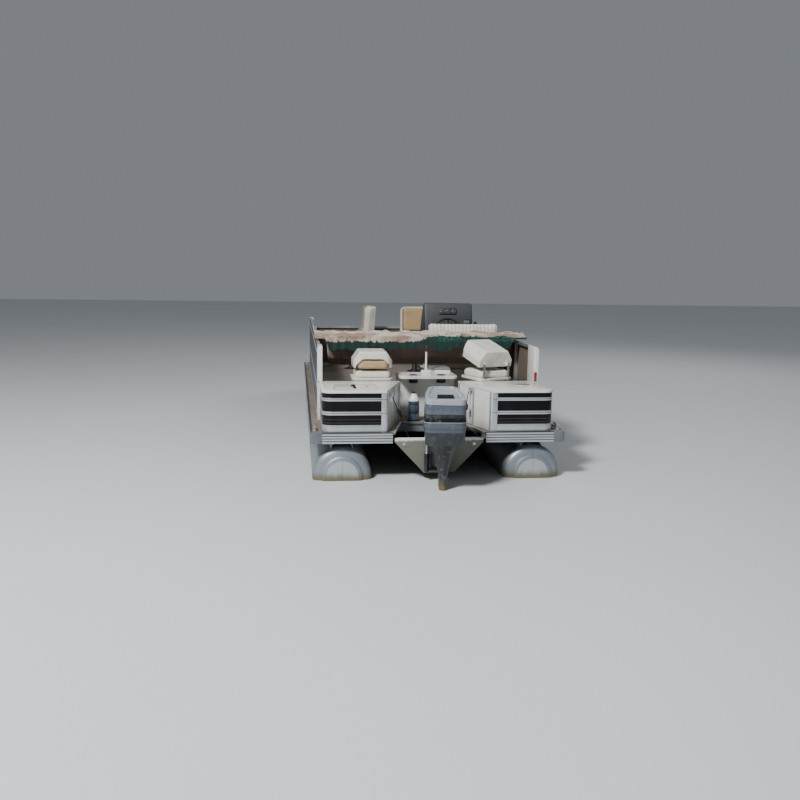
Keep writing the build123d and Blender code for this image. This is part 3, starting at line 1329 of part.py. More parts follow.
def build():
    os.makedirs("parts", exist_ok=True)
    starboard_log = log()
    write("log_starboard", starboard_log)
    write("log_port", mirrored(starboard_log))
    starboard_riser = riser()
    write("log_risers", starboard_riser, mirrored(starboard_riser))
    write("cross_members", *cross_members())
    write("transom_pod", transom_pod())
    write("deck_board", deck_board())
    write("deck_rail", *deck_rail())
    write("corner_caps", *corner_caps())
    write("stern_boxes", stern_box(), mirrored(stern_box()))
    write("box_tops", box_top(False), mirrored(box_top(True)))
    write("box_lid", box_lid())
    write("side_panels", stern_panel(), mirrored(stern_panel()), *fence_parts(fence_skin))
    trim = stern_trim() + well_rib()
    write("side_trim", notch_trim(), *trim, *[mirrored(piece) for piece in trim], *fence_parts(fence_strip))
    write("well_station", well_station())
    write("livewell_lid", livewell_lid())
    write("fence_frame", *fence_parts(fence_panel))
    write("fence_ends", *fence_ends())
    write("gate_bow", gate_bow())
    write("gate_port", gate_port())
    write("console_cabinet", console_cabinet())
    write("console_dash", *console_dash())
    write("steering_column", steering_column())
    write("steering_wheel", steering_wheel())
    write("control_box", control_box())
    write("bench_base", bench_base())
    write("bench_seat_pad", bench_seat_pad())
    write("bench_back_pad", bench_back_pad())
    posts = []
    for name, x, y_at, heading, lean in CHAIRS:
        place = chair_place(x, y_at, heading)
        posts.append(place * chair_post())
        write(f"chair_{name}_shell", place * seat_shell())
        write(f"chair_{name}_pad", place * seat_pad())
        write(f"chair_{name}_back", place * back_place(lean) * back_shell())
        write(f"chair_{name}_back_pad", place * back_place(lean) * back_pad())
    write("chair_posts", *posts)
    write("stern_light", stern_light())
    write("oil_bottle", oil_bottle())
    write("fittings", *cleats(), *canopy_brackets(), *line_glands(PORT_LINE), *line_glands(STARBOARD_LINE))
    write("fuel_line_port", *fuel_line(PORT_LINE))
    write("fuel_line_starboard", *fuel_line(STARBOARD_LINE))
    write("canopy_frame", canopy_frame())
    write("canopy_cloth", canopy_cloth())
    write("motor_clamp", motor_clamp())
    write("motor_swivel", motor_swivel())
    write("cowl_top", steered(cowl_top()))
    write("cowl_pan", steered(cowl_pan()))
    write("engine_block", steered(engine_block()))
    write("motor_leg", steered(motor_leg()))
    write("propeller", steered(propeller()))


build()
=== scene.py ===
import math

import bmesh
import bpy
from mathutils import Matrix, Vector, noise


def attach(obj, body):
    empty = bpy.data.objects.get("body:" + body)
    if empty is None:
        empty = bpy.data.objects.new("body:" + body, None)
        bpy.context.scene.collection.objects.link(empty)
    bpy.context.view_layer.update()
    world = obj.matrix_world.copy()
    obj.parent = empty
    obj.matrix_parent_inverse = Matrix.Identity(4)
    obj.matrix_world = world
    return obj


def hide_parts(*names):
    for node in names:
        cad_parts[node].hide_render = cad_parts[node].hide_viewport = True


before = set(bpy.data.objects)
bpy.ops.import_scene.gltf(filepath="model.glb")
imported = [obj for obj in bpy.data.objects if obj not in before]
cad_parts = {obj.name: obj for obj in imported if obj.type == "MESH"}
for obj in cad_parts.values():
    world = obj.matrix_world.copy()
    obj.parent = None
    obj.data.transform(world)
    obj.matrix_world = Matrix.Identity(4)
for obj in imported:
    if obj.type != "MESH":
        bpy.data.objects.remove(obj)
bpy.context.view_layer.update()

# The photograph's viewpoint: standing height, well behind the stern and off to port, looking a
# little down and to starboard through a lens slightly longer than normal, tilted a touch.
def added(name, data):
    """New object, linked to the scene."""
    made = bpy.data.objects.new(name, data)
    bpy.context.scene.collection.objects.link(made)
    return made


def at(x, y, z):
    return Matrix.Translation((x, y, z))


def turn(degrees, axis):
    return Matrix.Rotation(math.radians(degrees), 4, axis)


lens = bpy.data.cameras.new("viewpoint")
lens.sensor_width = 36.0
lens.lens = 38.25
viewpoint = added("viewpoint", lens)
eye = (-1.343, -10.834, 1.981)
yaw, pitch, roll = 7.01, 8.74, 0.84
viewpoint.matrix_world = at(*eye) @ turn(-yaw, "Z") @ turn(90 - pitch, "X") @ turn(roll, "Z")
bpy.context.scene.camera = viewpoint

# Fuel lines: two black rubber hoses, each from a gland on a well wall down to one on the transom,
# hanging a little slack, with a moulded priming bulb clamped into its upper half.
STERN = -3.05
HOSE_BORE = 0.009


def maths(operation, swapped=False):
    """An operator that adds one Math node."""
    def work(self, other):
        first, second = (other, self) if swapped else (self, other)
        return self.finish.node("ShaderNodeMath", {"operation": operation}, {0: first, 1: second})
    return work


class Shade:
    """A shader socket that Python arithmetic works on."""

    __add__ = maths("ADD")
    __sub__ = maths("SUBTRACT")
    __rsub__ = maths("SUBTRACT", True)
    __mul__ = maths("MULTIPLY")
    __truediv__ = maths("DIVIDE")
    __gt__ = maths("GREATER_THAN")
    __lt__ = maths("LESS_THAN")
    __or__ = maths("MAXIMUM")

    def __init__(self, finish, socket):
        self.finish = finish
        self.socket = socket

    def __abs__(self):
        return self.finish.node("ShaderNodeMath", {"operation": "ABSOLUTE"}, {0: self})


class Finish:
    """One procedural surface finish; fixed values go straight to the shader's own sockets."""

    def __init__(self, name, **fixed):
        self.material = bpy.data.materials.new(name)
        self.material.use_nodes = True
        self.tree = self.material.node_tree
        self.shader = self.tree.nodes["Principled BSDF"]
        for socket, value in fixed.items():
            self.shader.inputs[socket.replace("_", " ")].default_value = value
        self.place = self.node("ShaderNodeTexCoord", {}, {}, "Object")

    def node(self, kind, settings, inputs, output=0):
        made = self.tree.nodes.new(kind)
        for setting, value in settings.items():
            setattr(made, setting, value)
        for key, value in inputs.items():
            if isinstance(value, Shade):
                self.tree.links.new(value.socket, made.inputs[key])
            else:
                made.inputs[key].default_value = value
        return Shade(self, made.outputs[output])

    def axis(self, letter):
        """One coordinate of the place on the piece, in metres."""
        return self.node("ShaderNodeSeparateXYZ", {}, {0: self.place}, letter)

    def noise(self, scale, detail=3.0, stretch=(1, 1, 1), warp=0.0):
        vector = self.node("ShaderNodeMapping", {}, {"Vector": self.place, "Scale": stretch})
        inputs = {"Vector": vector, "Scale": scale, "Detail": detail, "Distortion": warp}
        return self.node("ShaderNodeTexNoise", {}, inputs, "Fac")

    def ramp(self, value, low, high):
        """Value spread over 0 to 1 between two levels, held at both ends."""
        return self.node("ShaderNodeMapRange", {"interpolation_type": "SMOOTHSTEP"},
                         {"Value": value, "From Min": low, "From Max": high})

    def blend(self, share, first, second):
        """Mix of two colours."""
        return self.node("ShaderNodeMix", {"data_type": "RGBA"},
                         {0: share, 6: self.colour(first), 7: self.colour(second)}, 2)

    def mixed(self, scale, detail, first, second):
        """Patches of two colours."""
        return self.blend(self.noise(scale, detail), first, second)

    def colour(self, value):
        return value if isinstance(value, Shade) else (*value, 1)

    def level(self, share, first, second):
        """Mix of two numbers."""
        return share * (second - first) + first

    def bump(self, height, strength, distance):
        inputs = {"Strength": strength, "Distance": distance, "Height": height}
        self.feed("Normal", self.node("ShaderNodeBump", {}, inputs))

    def feed(self, socket, value):
        self.tree.links.new(value.socket, self.shader.inputs[socket])

    def tint(self, colour):
        self.feed("Base Color", colour)

    def rough(self, share, first, second):
        self.feed("Roughness", self.level(share, first, second))


def calm():
    """Leave edit mode with nothing selected."""
    if bpy.context.object and bpy.context.object.mode == "EDIT":
        bpy.ops.object.mode_set(mode="OBJECT")
    bpy.ops.object.select_all(action="DESELECT")


def hold(piece):
    """Make a piece the active one, alone selected."""
    calm()
    bpy.context.view_layer.objects.active = piece
    piece.select_set(True)


def root(piece):
    """Put a piece's place in its mesh."""
    calm()
    piece.data.transform(piece.matrix_world)
    piece.matrix_world = Matrix.Identity(4)


def whole():
    bpy.ops.mesh.select_all(action="SELECT")


def shape(piece):
    """Enter edit mode on a piece with all of it selected."""
    hold(piece)
    bpy.ops.object.mode_set(mode="EDIT")
    whole()


def pick(kind, test):
    """Select the verts, edges or faces of the piece in edit mode whose place passes a test."""
    modes = {"verts": "VERT", "edges": "EDGE", "faces": "FACE"}
    bpy.ops.mesh.select_mode(type=modes[kind])
    bpy.ops.mesh.select_all(action="DESELECT")
    form = bmesh.from_edit_mesh(bpy.context.object.data)
    for part in getattr(form, kind):
        if test(part):
            part.select_set(True)
    form.select_flush_mode()
    bmesh.update_edit_mesh(bpy.context.object.data)


def smooth(piece, angle):
    hold(piece)
    bpy.ops.object.shade_smooth_by_angle(angle=math.radians(angle))


def clad(piece, finish):
    """Give a piece one finish only."""
    piece.data.materials.clear()
    piece.data.materials.append(finish.material)


def settle(piece, name, body, finish, slot, *nodes, angle=0):
    """Smooth, name and paint a piece where it stands, and hand it to its body."""
    if angle:
        smooth(piece, angle)
    root(piece)
    piece.name = name
    piece.data.name = name
    clad(piece, finish)
    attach(piece, body)
    if nodes:
        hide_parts(*nodes)
    return piece


def close():
    """Turn the faces of the piece in edit mode outward and leave edit mode."""
    whole()
    bpy.ops.mesh.normals_make_consistent(inside=False)
    calm()


def stack(vertices, rings):
    """Tube of rings along Y, each (Y, radius, rise), closed at both ends."""
    y, radius, rise = rings[0]
    bpy.ops.mesh.primitive_circle_add(vertices=vertices, radius=radius, location=(0, y, rise),
                                      rotation=(math.pi / 2, 0, 0), fill_type="TRIFAN")
    tube = bpy.context.object
    root(tube)
    shape(tube)
    for before, after in zip(rings, rings[1:]):
        pick("edges", lambda e: e.is_boundary)
        step = (0, after[0] - before[0], after[2] - before[2])
        bpy.ops.mesh.extrude_edges_move(TRANSFORM_OT_translate={"value": step})
        share = after[1] / before[1]
        bpy.ops.transform.resize(value=(share, 1, share))
    pick("edges", lambda e: e.is_boundary)
    bpy.ops.mesh.edge_face_add()
    close()
    return tube


hose_rubber = Finish("hose_rubber", Specular_IOR_Level=0.4)
chalk = hose_rubber.ramp(hose_rubber.noise(22.0, 5.0), 0.45, 0.75)
hose_rubber.tint(hose_rubber.blend(chalk * 0.6, (0.01, 0.01, 0.012), (0.055, 0.052, 0.05)))
hose_rubber.rough(chalk, 0.42, 0.68)
hose_rubber.bump(hose_rubber.noise(420.0, 2.0), 0.2, 0.0004)
fuel_lines = (
    ("port", 0.526, (
        (-0.432, 0.194, 0.772), (-0.396, 0.192, 0.682), (-0.34, 0.19, 0.574),
        (-0.306, 0.196, 0.464), (-0.276, 0.19, 0.384), (-0.25, 0.15, 0.345),
        (-0.25, 0.1, 0.345))),
    ("starboard", 0.6, (
        (0.352, 0.43, 0.785), (0.33, 0.412, 0.7), (0.318, 0.375, 0.59),
        (0.305, 0.32, 0.49), (0.288, 0.24, 0.42), (0.255, 0.165, 0.345),
        (0.255, 0.1, 0.345))),
)
bulb_half = [(0.012, 0.02, 0), (0.024, 0.0185, 0), (0.031, 0.015, 0), (0.0345, 0.01, 0),
             (0.036, 0.007, 0), (0.045, 0.0068, 0), (0.046, 0.0052, 0)]
bulb_rings = [(-y, radius, rise) for y, radius, rise in reversed(bulb_half)] + bulb_half
for side, cut_length, route in fuel_lines:
    line = bpy.data.curves.new(f"fuel_hose_{side}", "CURVE")
    line.dimensions = "3D"
    spline = line.splines.new("NURBS")
    spline.points.add(len(route) - 1)
    for point, (x, ahead, z) in zip(spline.points, route):
        point.co = (x, STERN + ahead, z, 1)
    spline.order_u = 3
    spline.use_endpoint_u = True
    spline.resolution_u = 24
    hose = added(f"fuel_hose_{side}", line)
    track = [vertex.co.copy() for vertex in bpy.data.meshes.new_from_object(hose).vertices]
    grip = (Vector(route[1]) + Vector(route[2])) / 2 + Vector((0, STERN, 0))
    nearest = min(range(1, len(track) - 1), key=lambda index: (track[index] - grip).length)
    heading = track[nearest + 1] - track[nearest - 1]
    bulb = stack(28, bulb_rings)
    lie = heading.to_track_quat("Y", "Z").to_matrix().to_4x4()
    bulb.data.transform(at(*track[nearest]) @ lie)
    settle(bulb, f"priming_bulb_{side}", "hull", hose_rubber, "hose_rubber", angle=50)
    line.bevel_depth = HOSE_BORE / 2
    line.bevel_resolution = 5
    line.use_fill_caps = True
    line.materials.append(hose_rubber.material)
    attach(hose, "hull")
    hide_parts(f"fuel_line_{side}")
    x, ahead, z = route[0]
    STERN + ahead

# Calm pale ground at the waterline, under an even sky with one large soft lamp high on the port
# quarter and a weaker one off the starboard bow.
bpy.ops.mesh.primitive_plane_add(size=80.0, location=(0, 0, 0))
floor = bpy.context.object
floor.name = "ground"


def lamp(name, place, aim, size, power):
    light = bpy.data.lights.new(name, "AREA")
    light.size = size
    light.energy = power
    made = added(name, light)
    made.location = place
    made.rotation_euler = (Vector(aim) - Vector(place)).to_track_quat("-Z", "Y").to_euler()


lamp("key", (-6.0, -9.5, 9.5), (0, -1.5, 0.5), 2.0, 2200)
lamp("fill", (7.0, 6.0, 8.0), (0, 0, 0.5), 6.0, 260)
sky = bpy.data.worlds.new("sky")
sky.use_nodes = True
glow = sky.node_tree.nodes["Background"].inputs
glow["Color"].default_value = (0.86, 0.92, 1.0, 1)
glow["Strength"].default_value = 0.24
bpy.context.scene.world = sky

ground = Finish("pale_ground", Roughness=0.55)
ground.tint(ground.blend(ground.noise(0.3), (0.6, 0.62, 0.63), (0.66, 0.68, 0.69)))
floor.data.materials.append(ground.material)

# Two floats: rolled and welded aluminium tubes with pressed stepped end caps and raised pointed
# noses, joined by girth welds, dulled by weather and stained brown at the waterline.
LOG_X = 0.92
LOG_Z = 0.04
LOG_RADIUS = 0.28
LOG_TUBE_END = 5.3
SEAM_HALF = 0.00148
WELD_RISE = 0.0018
mill = Finish("weathered_aluminium", Metallic=0.5, Specular_IOR_Level=0.4)
height = mill.axis("Z")
blotch = mill.noise(3.0, 6.0)
streak = mill.noise(14.0, 3.0, (1, 1, 0.12))
scum = mill.ramp(height + (streak - 0.5) * 0.06, 0.1, 0.015)
bare = mill.blend(blotch, (0.2, 0.235, 0.27), (0.36, 0.4, 0.43))
stained = mill.blend(scum * 0.85, bare, (0.17, 0.14, 0.055))
out = abs(mill.axis("X")) - LOG_X
up = height - LOG_Z
on_cap = mill.axis("Y") < STERN + 0.06
disc = mill.ramp(out * out + up * up, 0.024, 0.0215) * on_cap
seam = (out * out < SEAM_HALF ** 2) * on_cap
polished = mill.blend(disc * (1 - scum) * 0.7, stained, (0.58, 0.61, 0.62))
capped = mill.blend(seam * 0.8, polished, (0.05, 0.05, 0.05))
mill.tint(mill.blend(mill.ramp(height, 0.004, -0.03), capped, (0.1, 0.12, 0.08)))
mill.rough(blotch, 0.34, 0.5)
mill.bump(mill.noise(90.0, 2.0, (1, 0.2, 1)) + blotch * 2.0, 0.12, 0.002)


def modify(piece, kind, **settings):
    """Add a modifier and apply it."""
    hold(piece)
    modifier = piece.modifiers.new(kind.lower(), kind)
    for setting, value in settings.items():
        setattr(modifier, setting, value)
    bpy.ops.object.modifier_apply(modifier=modifier.name)


cap_rings = [
    (0.0245, 0.1, 0), (0.0255, 0.15, 0), (0.029, 0.176, 0), (0.037, 0.1895, 0), (0.05, 0.1915, 0),
    (0.054, 0.204, 0), (0.0585, 0.225, 0), (0.066, 0.246, 0), (0.078, 0.263, 0), (0.094, 0.275, 0),
    (0.112, LOG_RADIUS, 0)]
weld_rings = [(weld_at + ahead, LOG_RADIUS + raised, 0)
              for weld_at in (0.128, 1.42, 2.71, 4.0, 5.285)
              for ahead, raised in ((0, 0), (0.003, WELD_RISE), (0.009, WELD_RISE), (0.012, 0))]
nose_rings = [(LOG_TUBE_END + ahead, radius, LOG_RADIUS - radius) for ahead, radius in (
    (0.02, LOG_RADIUS), (0.16, 0.276), (0.3, 0.265), (0.43, 0.2495), (0.55, 0.226), (0.67, 0.195),
    (0.78, 0.1595), (0.87, 0.124), (0.93, 0.094), (0.965, 0.07), (0.985, 0.052))]
tube_rings = [(STERN + ahead, radius, rise)
              for ahead, radius, rise in (*cap_rings, *weld_rings, *nose_rings)]
for side, sign in (("port", -1), ("starboard", 1)):
    tube = stack(72, tube_rings)
    tube.data.transform(at(sign * LOG_X, 0, LOG_Z))
    settle(tube, f"float_{side}", "hull", mill, "mill_aluminium", f"log_{side}", angle=40)
    bpy.ops.mesh.primitive_cube_add(size=1, location=(sign * LOG_X, STERN + 2.706, -0.2505),
                                    scale=(0.034, 5.18, 0.026))
    keel = bpy.context.object
    modify(keel, "BEVEL", width=0.006, segments=2)
    settle(keel, f"keel_{side}", "hull", mill, "mill_aluminium")

# Frame under the deck: folded hat sections along the floats and C channels across them, all mill
# aluminium, bolted up under the deck board.
def paint(node, finish):
    """Give a CAD node a finish of its own."""
    clad(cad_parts[node], finish)


paint("log_risers", mill)
paint("cross_members", mill)

# Motor pod: a welded tub of painted sheet let into the deck's notch, with a thick transom across
# its stern. The paint is grey green, chalky and scratched, its top edge worn nearly white.
pod_paint = Finish("chalky_pod_paint", Metallic=0.2)
wear = pod_paint.ramp(pod_paint.axis("Z") + (pod_paint.noise(30.0) - 0.5) * 0.03, 0.372, 0.395)
inside = pod_paint.ramp(pod_paint.axis("Y"), STERN + 0.066, STERN + 0.07)
coat = pod_paint.mixed(9.0, 6.0, (0.115, 0.12, 0.092), (0.2, 0.205, 0.168))
# Everything forward of the transom's aft face, the inside of the tub, is coloured a dark brown.
pod_inside_colour = pod_paint.mixed(12.0, 5.0, (0.022, 0.016, 0.012), (0.065, 0.05, 0.04))
worn = pod_paint.blend(wear, coat, (0.72, 0.72, 0.69))
pod_paint.tint(pod_paint.blend(inside, worn, pod_inside_colour))
pod_paint.rough(pod_paint.noise(25.0), 0.45, 0.7)
pod_paint.bump(pod_paint.noise(60.0, 4.0), 0.15, 0.001)


def dressed(node, body, width, finish, slot, segments=2, angle=30.0):
    """Copy of a CAD node with its edges eased, standing for the node."""
    piece = added(node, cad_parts[node].data.copy())
    shape(piece)
    bpy.ops.mesh.customdata_custom_splitnormals_clear()
    bpy.ops.mesh.remove_doubles(threshold=0.00002)
    bpy.ops.mesh.dissolve_limited(angle_limit=math.radians(1.0))
    if width:
        modify(piece, "BEVEL", width=width, segments=segments, limit_method="ANGLE",
               angle_limit=math.radians(angle), harden_normals=False)
    return settle(piece, f"{node}_dressed", body, finish, slot, node, angle=35)


dressed("transom_pod", "hull", 0.003, pod_paint, "painted_transom")

# Deck: plywood screwed down to the frame, with tan outdoor carpet glued on: short looped pile with
# dirt trodden in.
carpet = Finish("tan_deck_carpet", Sheen_Weight=0.2)
pile = carpet.noise(900.0, 2.0)
soil = carpet.ramp(carpet.noise(2.2, 6.0), 0.42, 0.68)
yarn = carpet.blend(pile, (0.085, 0.06, 0.04), (0.25, 0.19, 0.135))
carpet.tint(carpet.blend(soil * 0.55, yarn, (0.05, 0.037, 0.027)))
carpet.rough(pile, 0.85, 0.98)
carpet.bump(pile, 0.6, 0.003)
paint("deck_board", carpet)

# Deck rail: lengths of a ribbed aluminium extrusion screwed to the deck's edge, with a cast cap
# over each corner.
RAIL_FOOT = 0.364
RIB_PITCH = 0.025
bright = Finish("satin_aluminium", Metallic=0.8, Specular_IOR_Level=0.5)
smudge = bright.noise(7.0, 6.0)
bright.tint(bright.blend(smudge, (0.44, 0.47, 0.5), (0.64, 0.67, 0.69)))
bright.rough(smudge, 0.26, 0.42)
bright.bump(bright.noise(220.0, 2.0, (0.04, 0.04, 1)), 0.06, 0.001)
rail_metal = Finish("ribbed_rail_aluminium", Metallic=0.7, Specular_IOR_Level=0.5)
scratch = rail_metal.noise(11.0, 6.0, (0.3, 0.3, 2.0))
rise = (rail_metal.axis("Z") - RAIL_FOOT) / RIB_PITCH
rib = rail_metal.node("ShaderNodeMath", {"operation": "FRACT"}, {0: rise})
smooth_metal = rail_metal.blend(scratch, (0.46, 0.5, 0.54), (0.68, 0.71, 0.73))
# Painted shade: dark lines in the grooves between the rail's ribs.
rail_metal.tint(rail_metal.blend(rib > 0.67, smooth_metal, (0.085, 0.09, 0.1)))
rail_metal.rough(scratch, 0.28, 0.45)
rail_metal.bump(scratch, 0.08, 0.001)
paint("deck_rail", rail_metal)


def mottled(name, patch, dark, light, wear, rough, grain=None, **fixed):
    """Finish in two close colours with a worn sheen and, mostly, a fine grain."""
    made = Finish(name, **fixed)
    made.tint(made.blend(made.noise(*patch), dark, light))
    made.rough(made.noise(wear), *rough)
    if grain:
        scale, strength, depth = grain
        made.bump(made.noise(scale), strength, depth)
    return made


cast = mottled("cast_corner", (16.0, 5.0), (0.14, 0.15, 0.165), (0.24, 0.26, 0.28), 40.0,
               (0.4, 0.6), (180.0, 0.2, 0.0008), Metallic=0.55)
dressed("corner_caps", "hull", 0.004, cast, "bright_aluminium")

# Stern boxes: moulded white boxes each side of the motor well, gloss gone chalky, with tide marks
# of grime low down and round the rims.
gelcoat = Finish("white_gelcoat", Coat_Weight=0.25, Coat_Roughness=0.15)
grime = gelcoat.ramp(gelcoat.noise(5.0, 7.0), 0.5, 0.8)
low = gelcoat.ramp(gelcoat.axis("Z") + (gelcoat.noise(9.0, 3.0) - 0.5) * 0.16, 0.6, 0.46)
fresh = gelcoat.blend(gelcoat.noise(1.7), (0.7, 0.7, 0.665), (0.8, 0.8, 0.77))
aged = gelcoat.blend(grime * 0.4, fresh, (0.36, 0.32, 0.25))
gelcoat.tint(gelcoat.blend(low * 0.45, aged, (0.36, 0.32, 0.26)))
gelcoat.rough(grime, 0.24, 0.5)
gelcoat.bump(gelcoat.noise(35.0, 2.0), 0.05, 0.001)
dressed("stern_boxes", "hull", 0.004, gelcoat, "white_moulding")
dressed("box_tops", "hull", 0.007, gelcoat, "white_moulding", 3)
dressed("box_lid", "box_lid", 0.005, gelcoat, "white_moulding", 3)
dressed("fence_ends", "hull", 0.006, gelcoat, "white_moulding", 3)

# Stern and fence skins: thin sheet riveted to the fence frames, gloss black outside with a film of
# dust, tan fibre lining inside; bright strips run round them. The two gates are made alike.
FENCE_START = STERN + 0.73
SHEET_SIDE, SHEET_BOW = 1.1335, 2.6985
SHEET_BLACK = (0.003, 0.003, 0.0055)
LINING_DARK, LINING_LIGHT = (0.095, 0.074, 0.058), (0.2, 0.16, 0.128)
skin = Finish("black_sheet_tan_lining", Specular_IOR_Level=0.22)
stern_part = skin.axis("Y") < FENCE_START
outside = (abs(skin.axis("X")) > SHEET_SIDE) | (skin.axis("Y") > SHEET_BOW) | stern_part
dust = skin.ramp(skin.noise(6.0, 6.0), 0.45, 0.75)
gloss_black = skin.blend(dust * 0.3, SHEET_BLACK, (0.022, 0.021, 0.022))
lining = skin.mixed(30.0, 5.0, LINING_DARK, LINING_LIGHT)
level = skin.axis("Z")
pinstripe = (level > 0.5525) * (level < 0.556) + (level > 0.5835) * (level < 0.587)
striped = skin.blend(pinstripe * stern_part * 0.7, gloss_black, (0.13, 0.095, 0.07))
skin.tint(skin.blend(outside, lining, striped))
skin.feed("Roughness", skin.level(outside, 0.85, 0.3) + dust * 0.15)
paint("side_panels", skin)
trim_metal = Finish("trim_strips", Metallic=0.65, Specular_IOR_Level=0.5)
level = trim_metal.axis("Z")
tarnish = trim_metal.noise(9.0, 6.0)
crease_line = (level > 0.6425) * (level < 0.647) + (level > 0.773) * (level < 0.7775)
crease_line = crease_line * (trim_metal.axis("Y") < FENCE_START)
metal = trim_metal.blend(tarnish, (0.46, 0.49, 0.52), (0.68, 0.71, 0.73))
trim_metal.tint(trim_metal.blend(crease_line, metal, (0.055, 0.058, 0.065)))
trim_metal.rough(tarnish, 0.26, 0.42)
trim_metal.bump(tarnish, 0.06, 0.001)
dressed("side_trim", "hull", 0.0016, trim_metal, "bright_aluminium")
paint("fence_frame", bright)
gate_skin = Finish("gate_sheet_and_frame", Specular_IOR_Level=0.3)
across = abs(gate_skin.axis("X")) - SHEET_SIDE
ahead = gate_skin.axis("Y") - SHEET_BOW
on_sheet = (across > 0) * (across < 0.0027) | (ahead > 0) * (ahead < 0.0027)
on_lining = (across > -0.0019) * (across < 0) | (ahead > -0.0019) * (ahead < 0)
outer = gate_skin.blend(on_sheet, (0.56, 0.59, 0.61), SHEET_BLACK)
lining = gate_skin.mixed(30.0, 5.0, LINING_DARK, LINING_LIGHT)
gate_skin.tint(gate_skin.blend(on_lining, outer, lining))
gate_skin.feed("Metallic", gate_skin.level(on_sheet | on_lining, 0.65, 0.0))
gate_skin.rough(gate_skin.noise(9.0, 5.0), 0.24, 0.4)
paint("gate_bow", gate_skin)
paint("gate_port", gate_skin)

# Shelf over the well with two cup holes, and the livewell ahead of it: a white moulding screwed to
# the deck, with a grey pebbled plastic lid hinged on the livewell.
dressed("well_station", "hull", 0.006, gelcoat, "white_moulding", 3)
grey_lid = Finish("grey_pebbled_plastic")
pebble = grey_lid.noise(260.0, 2.0)
faded = grey_lid.noise(6.0, 5.0)
grey_lid.tint(grey_lid.blend(faded, (0.135, 0.138, 0.135), (0.215, 0.218, 0.212)))
grey_lid.rough(pebble, 0.5, 0.7)
grey_lid.bump(pebble, 0.25, 0.001)
dressed("livewell_lid", "livewell_lid", 0.004, grey_lid, "grey_moulding")

# Console: one hollow moulding of charcoal plastic with a pebble grain, bolted to the deck, and a
# black panel for the dials and switches. The shelf's cup holes have liners of that black plastic.
charcoal = Finish("charcoal_moulding")
pebble = charcoal.noise(300.0, 2.0)
fade = charcoal.ramp(charcoal.axis("Z") + (charcoal.noise(8.0, 4.0) - 0.5) * 0.2, 1.2, 1.56)
charcoal.tint(charcoal.blend(fade, (0.024, 0.027, 0.032), (0.06, 0.064, 0.072)))
charcoal.rough(pebble, 0.42, 0.62)
charcoal.bump(pebble, 0.3, 0.001)


def joined(pieces):
    """One object out of several."""
    hold(pieces[0])
    for piece in pieces:
        piece.select_set(True)
    bpy.ops.object.join()
    return bpy.context.object


def turned(vertices, rings, place=Matrix.Identity(4)):
    """Ringed tube standing along Z at a place: each ring is (height, radius)."""
    piece = stack(vertices, [(-height, radius, 0) for height, radius in rings])
    piece.data.transform(place @ turn(-90, "X"))
    return piece


dressed("console_cabinet", "hull", 0.028, charcoal, "grey_moulding", 5, 20)
rubber = mottled("black_plastic", (20.0, 4.0), (0.005, 0.005, 0.006), (0.016, 0.016, 0.017), 60.0,
                 (0.38, 0.58), (240.0, 0.15, 0.0008))
dressed("console_dash", "hull", 0.003, rubber, "black_plastic")
cup_rings = [(-0.062, 0.0405), (0.0005, 0.0414), (0.0005, 0.047), (0.0025, 0.0466),
             (0.0032, 0.044), (0.0028, 0.0402), (-0.06, 0.0385), (-0.061, 0.02)]
sleeve_rings = [(-0.0795, 0.035), (-0.0795, 0.047), (-0.0275, 0.0475), (-0.0275, 0.0462),
                (-0.0785, 0.0462), (-0.0785, 0.03)]
liners = []
for side in (-1, 1):
    for rings in (cup_rings, sleeve_rings):
        liners.append(turned(40, rings, at(side * 0.145, STERN + 0.85, 0.905)))
cups = joined(liners)
settle(cups, "cup_liners", "hull", rubber, "black_plastic", angle=40)

# Gauges: three round dials with dark faces and pale marks, let into the instrument panel, and
# a row of rocker switches on the panel beside it.
DASH_LEAN = math.radians(17.0)
DASH_FOOT_Y, DASH_FOOT_Z = STERN + 2.96, 1.06


def bar(size, place, bevel=0.0, segments=2):
    """Straight bar of a size, centred at a place, with eased edges."""
    calm()
    bpy.ops.mesh.primitive_cube_add(size=1, location=place, scale=size)
    piece = bpy.context.object
    root(piece)
    if bevel:
        modify(piece, "BEVEL", width=bevel, segments=segments)
    return piece


def on_dash(rise, x, out=0.0):
    """Placing matrix on the sloping dash: X to starboard, Y up the slope, Z out of the face."""
    across, up = Vector((1, 0, 0)), Vector((0, math.sin(DASH_LEAN), math.cos(DASH_LEAN)))
    normal = across.cross(up)
    place = Matrix((across, up, normal)).transposed().to_4x4()
    place.translation = Vector((x, DASH_FOOT_Y, DASH_FOOT_Z)) + up * rise + normal * out
    return place


dial_face = mottled("dark_dial_face", (40.0, 4.0), (0.012, 0.013, 0.015), (0.045, 0.047, 0.05),
                    90.0, (0.3, 0.45))
for name, offset in (("left", -0.072), ("middle", 0.0), ("right", 0.072)):
    place = on_dash(0.41, 0.595 + offset, 0.014)
    ring = turned(36, [(0.0, 0.031), (0.005, 0.031), (0.0065, 0.0295), (0.0065, 0.0275),
                       (0.003, 0.0268)], place)
    settle(ring, f"dial_ring_{name}", "hull", cast, "bright_aluminium", angle=40)
    face = turned(36, [(0.0028, 0.027), (0.0034, 0.0268), (0.0036, 0.0262)], place)
    settle(face, f"dial_face_{name}", "hull", dial_face, "white_moulding")
    ticks = []
    for step in range(11):
        tick = bar((0.0014, 0.0055, 0.0006), (0, 0.0212, 0.0038))
        tick.data.transform(place @ turn(-125 + 25 * step, "Z"))
        ticks.append(tick)
    needle = bar((0.0018, 0.021, 0.0012), (0, 0.0085, 0.0044))
    needle.data.transform(place @ turn(118 if offset < 0 else 60, "Z"))
    settle(joined([*ticks, needle]), f"dial_marks_{name}", "hull", gelcoat, "white_moulding")
rockers = []
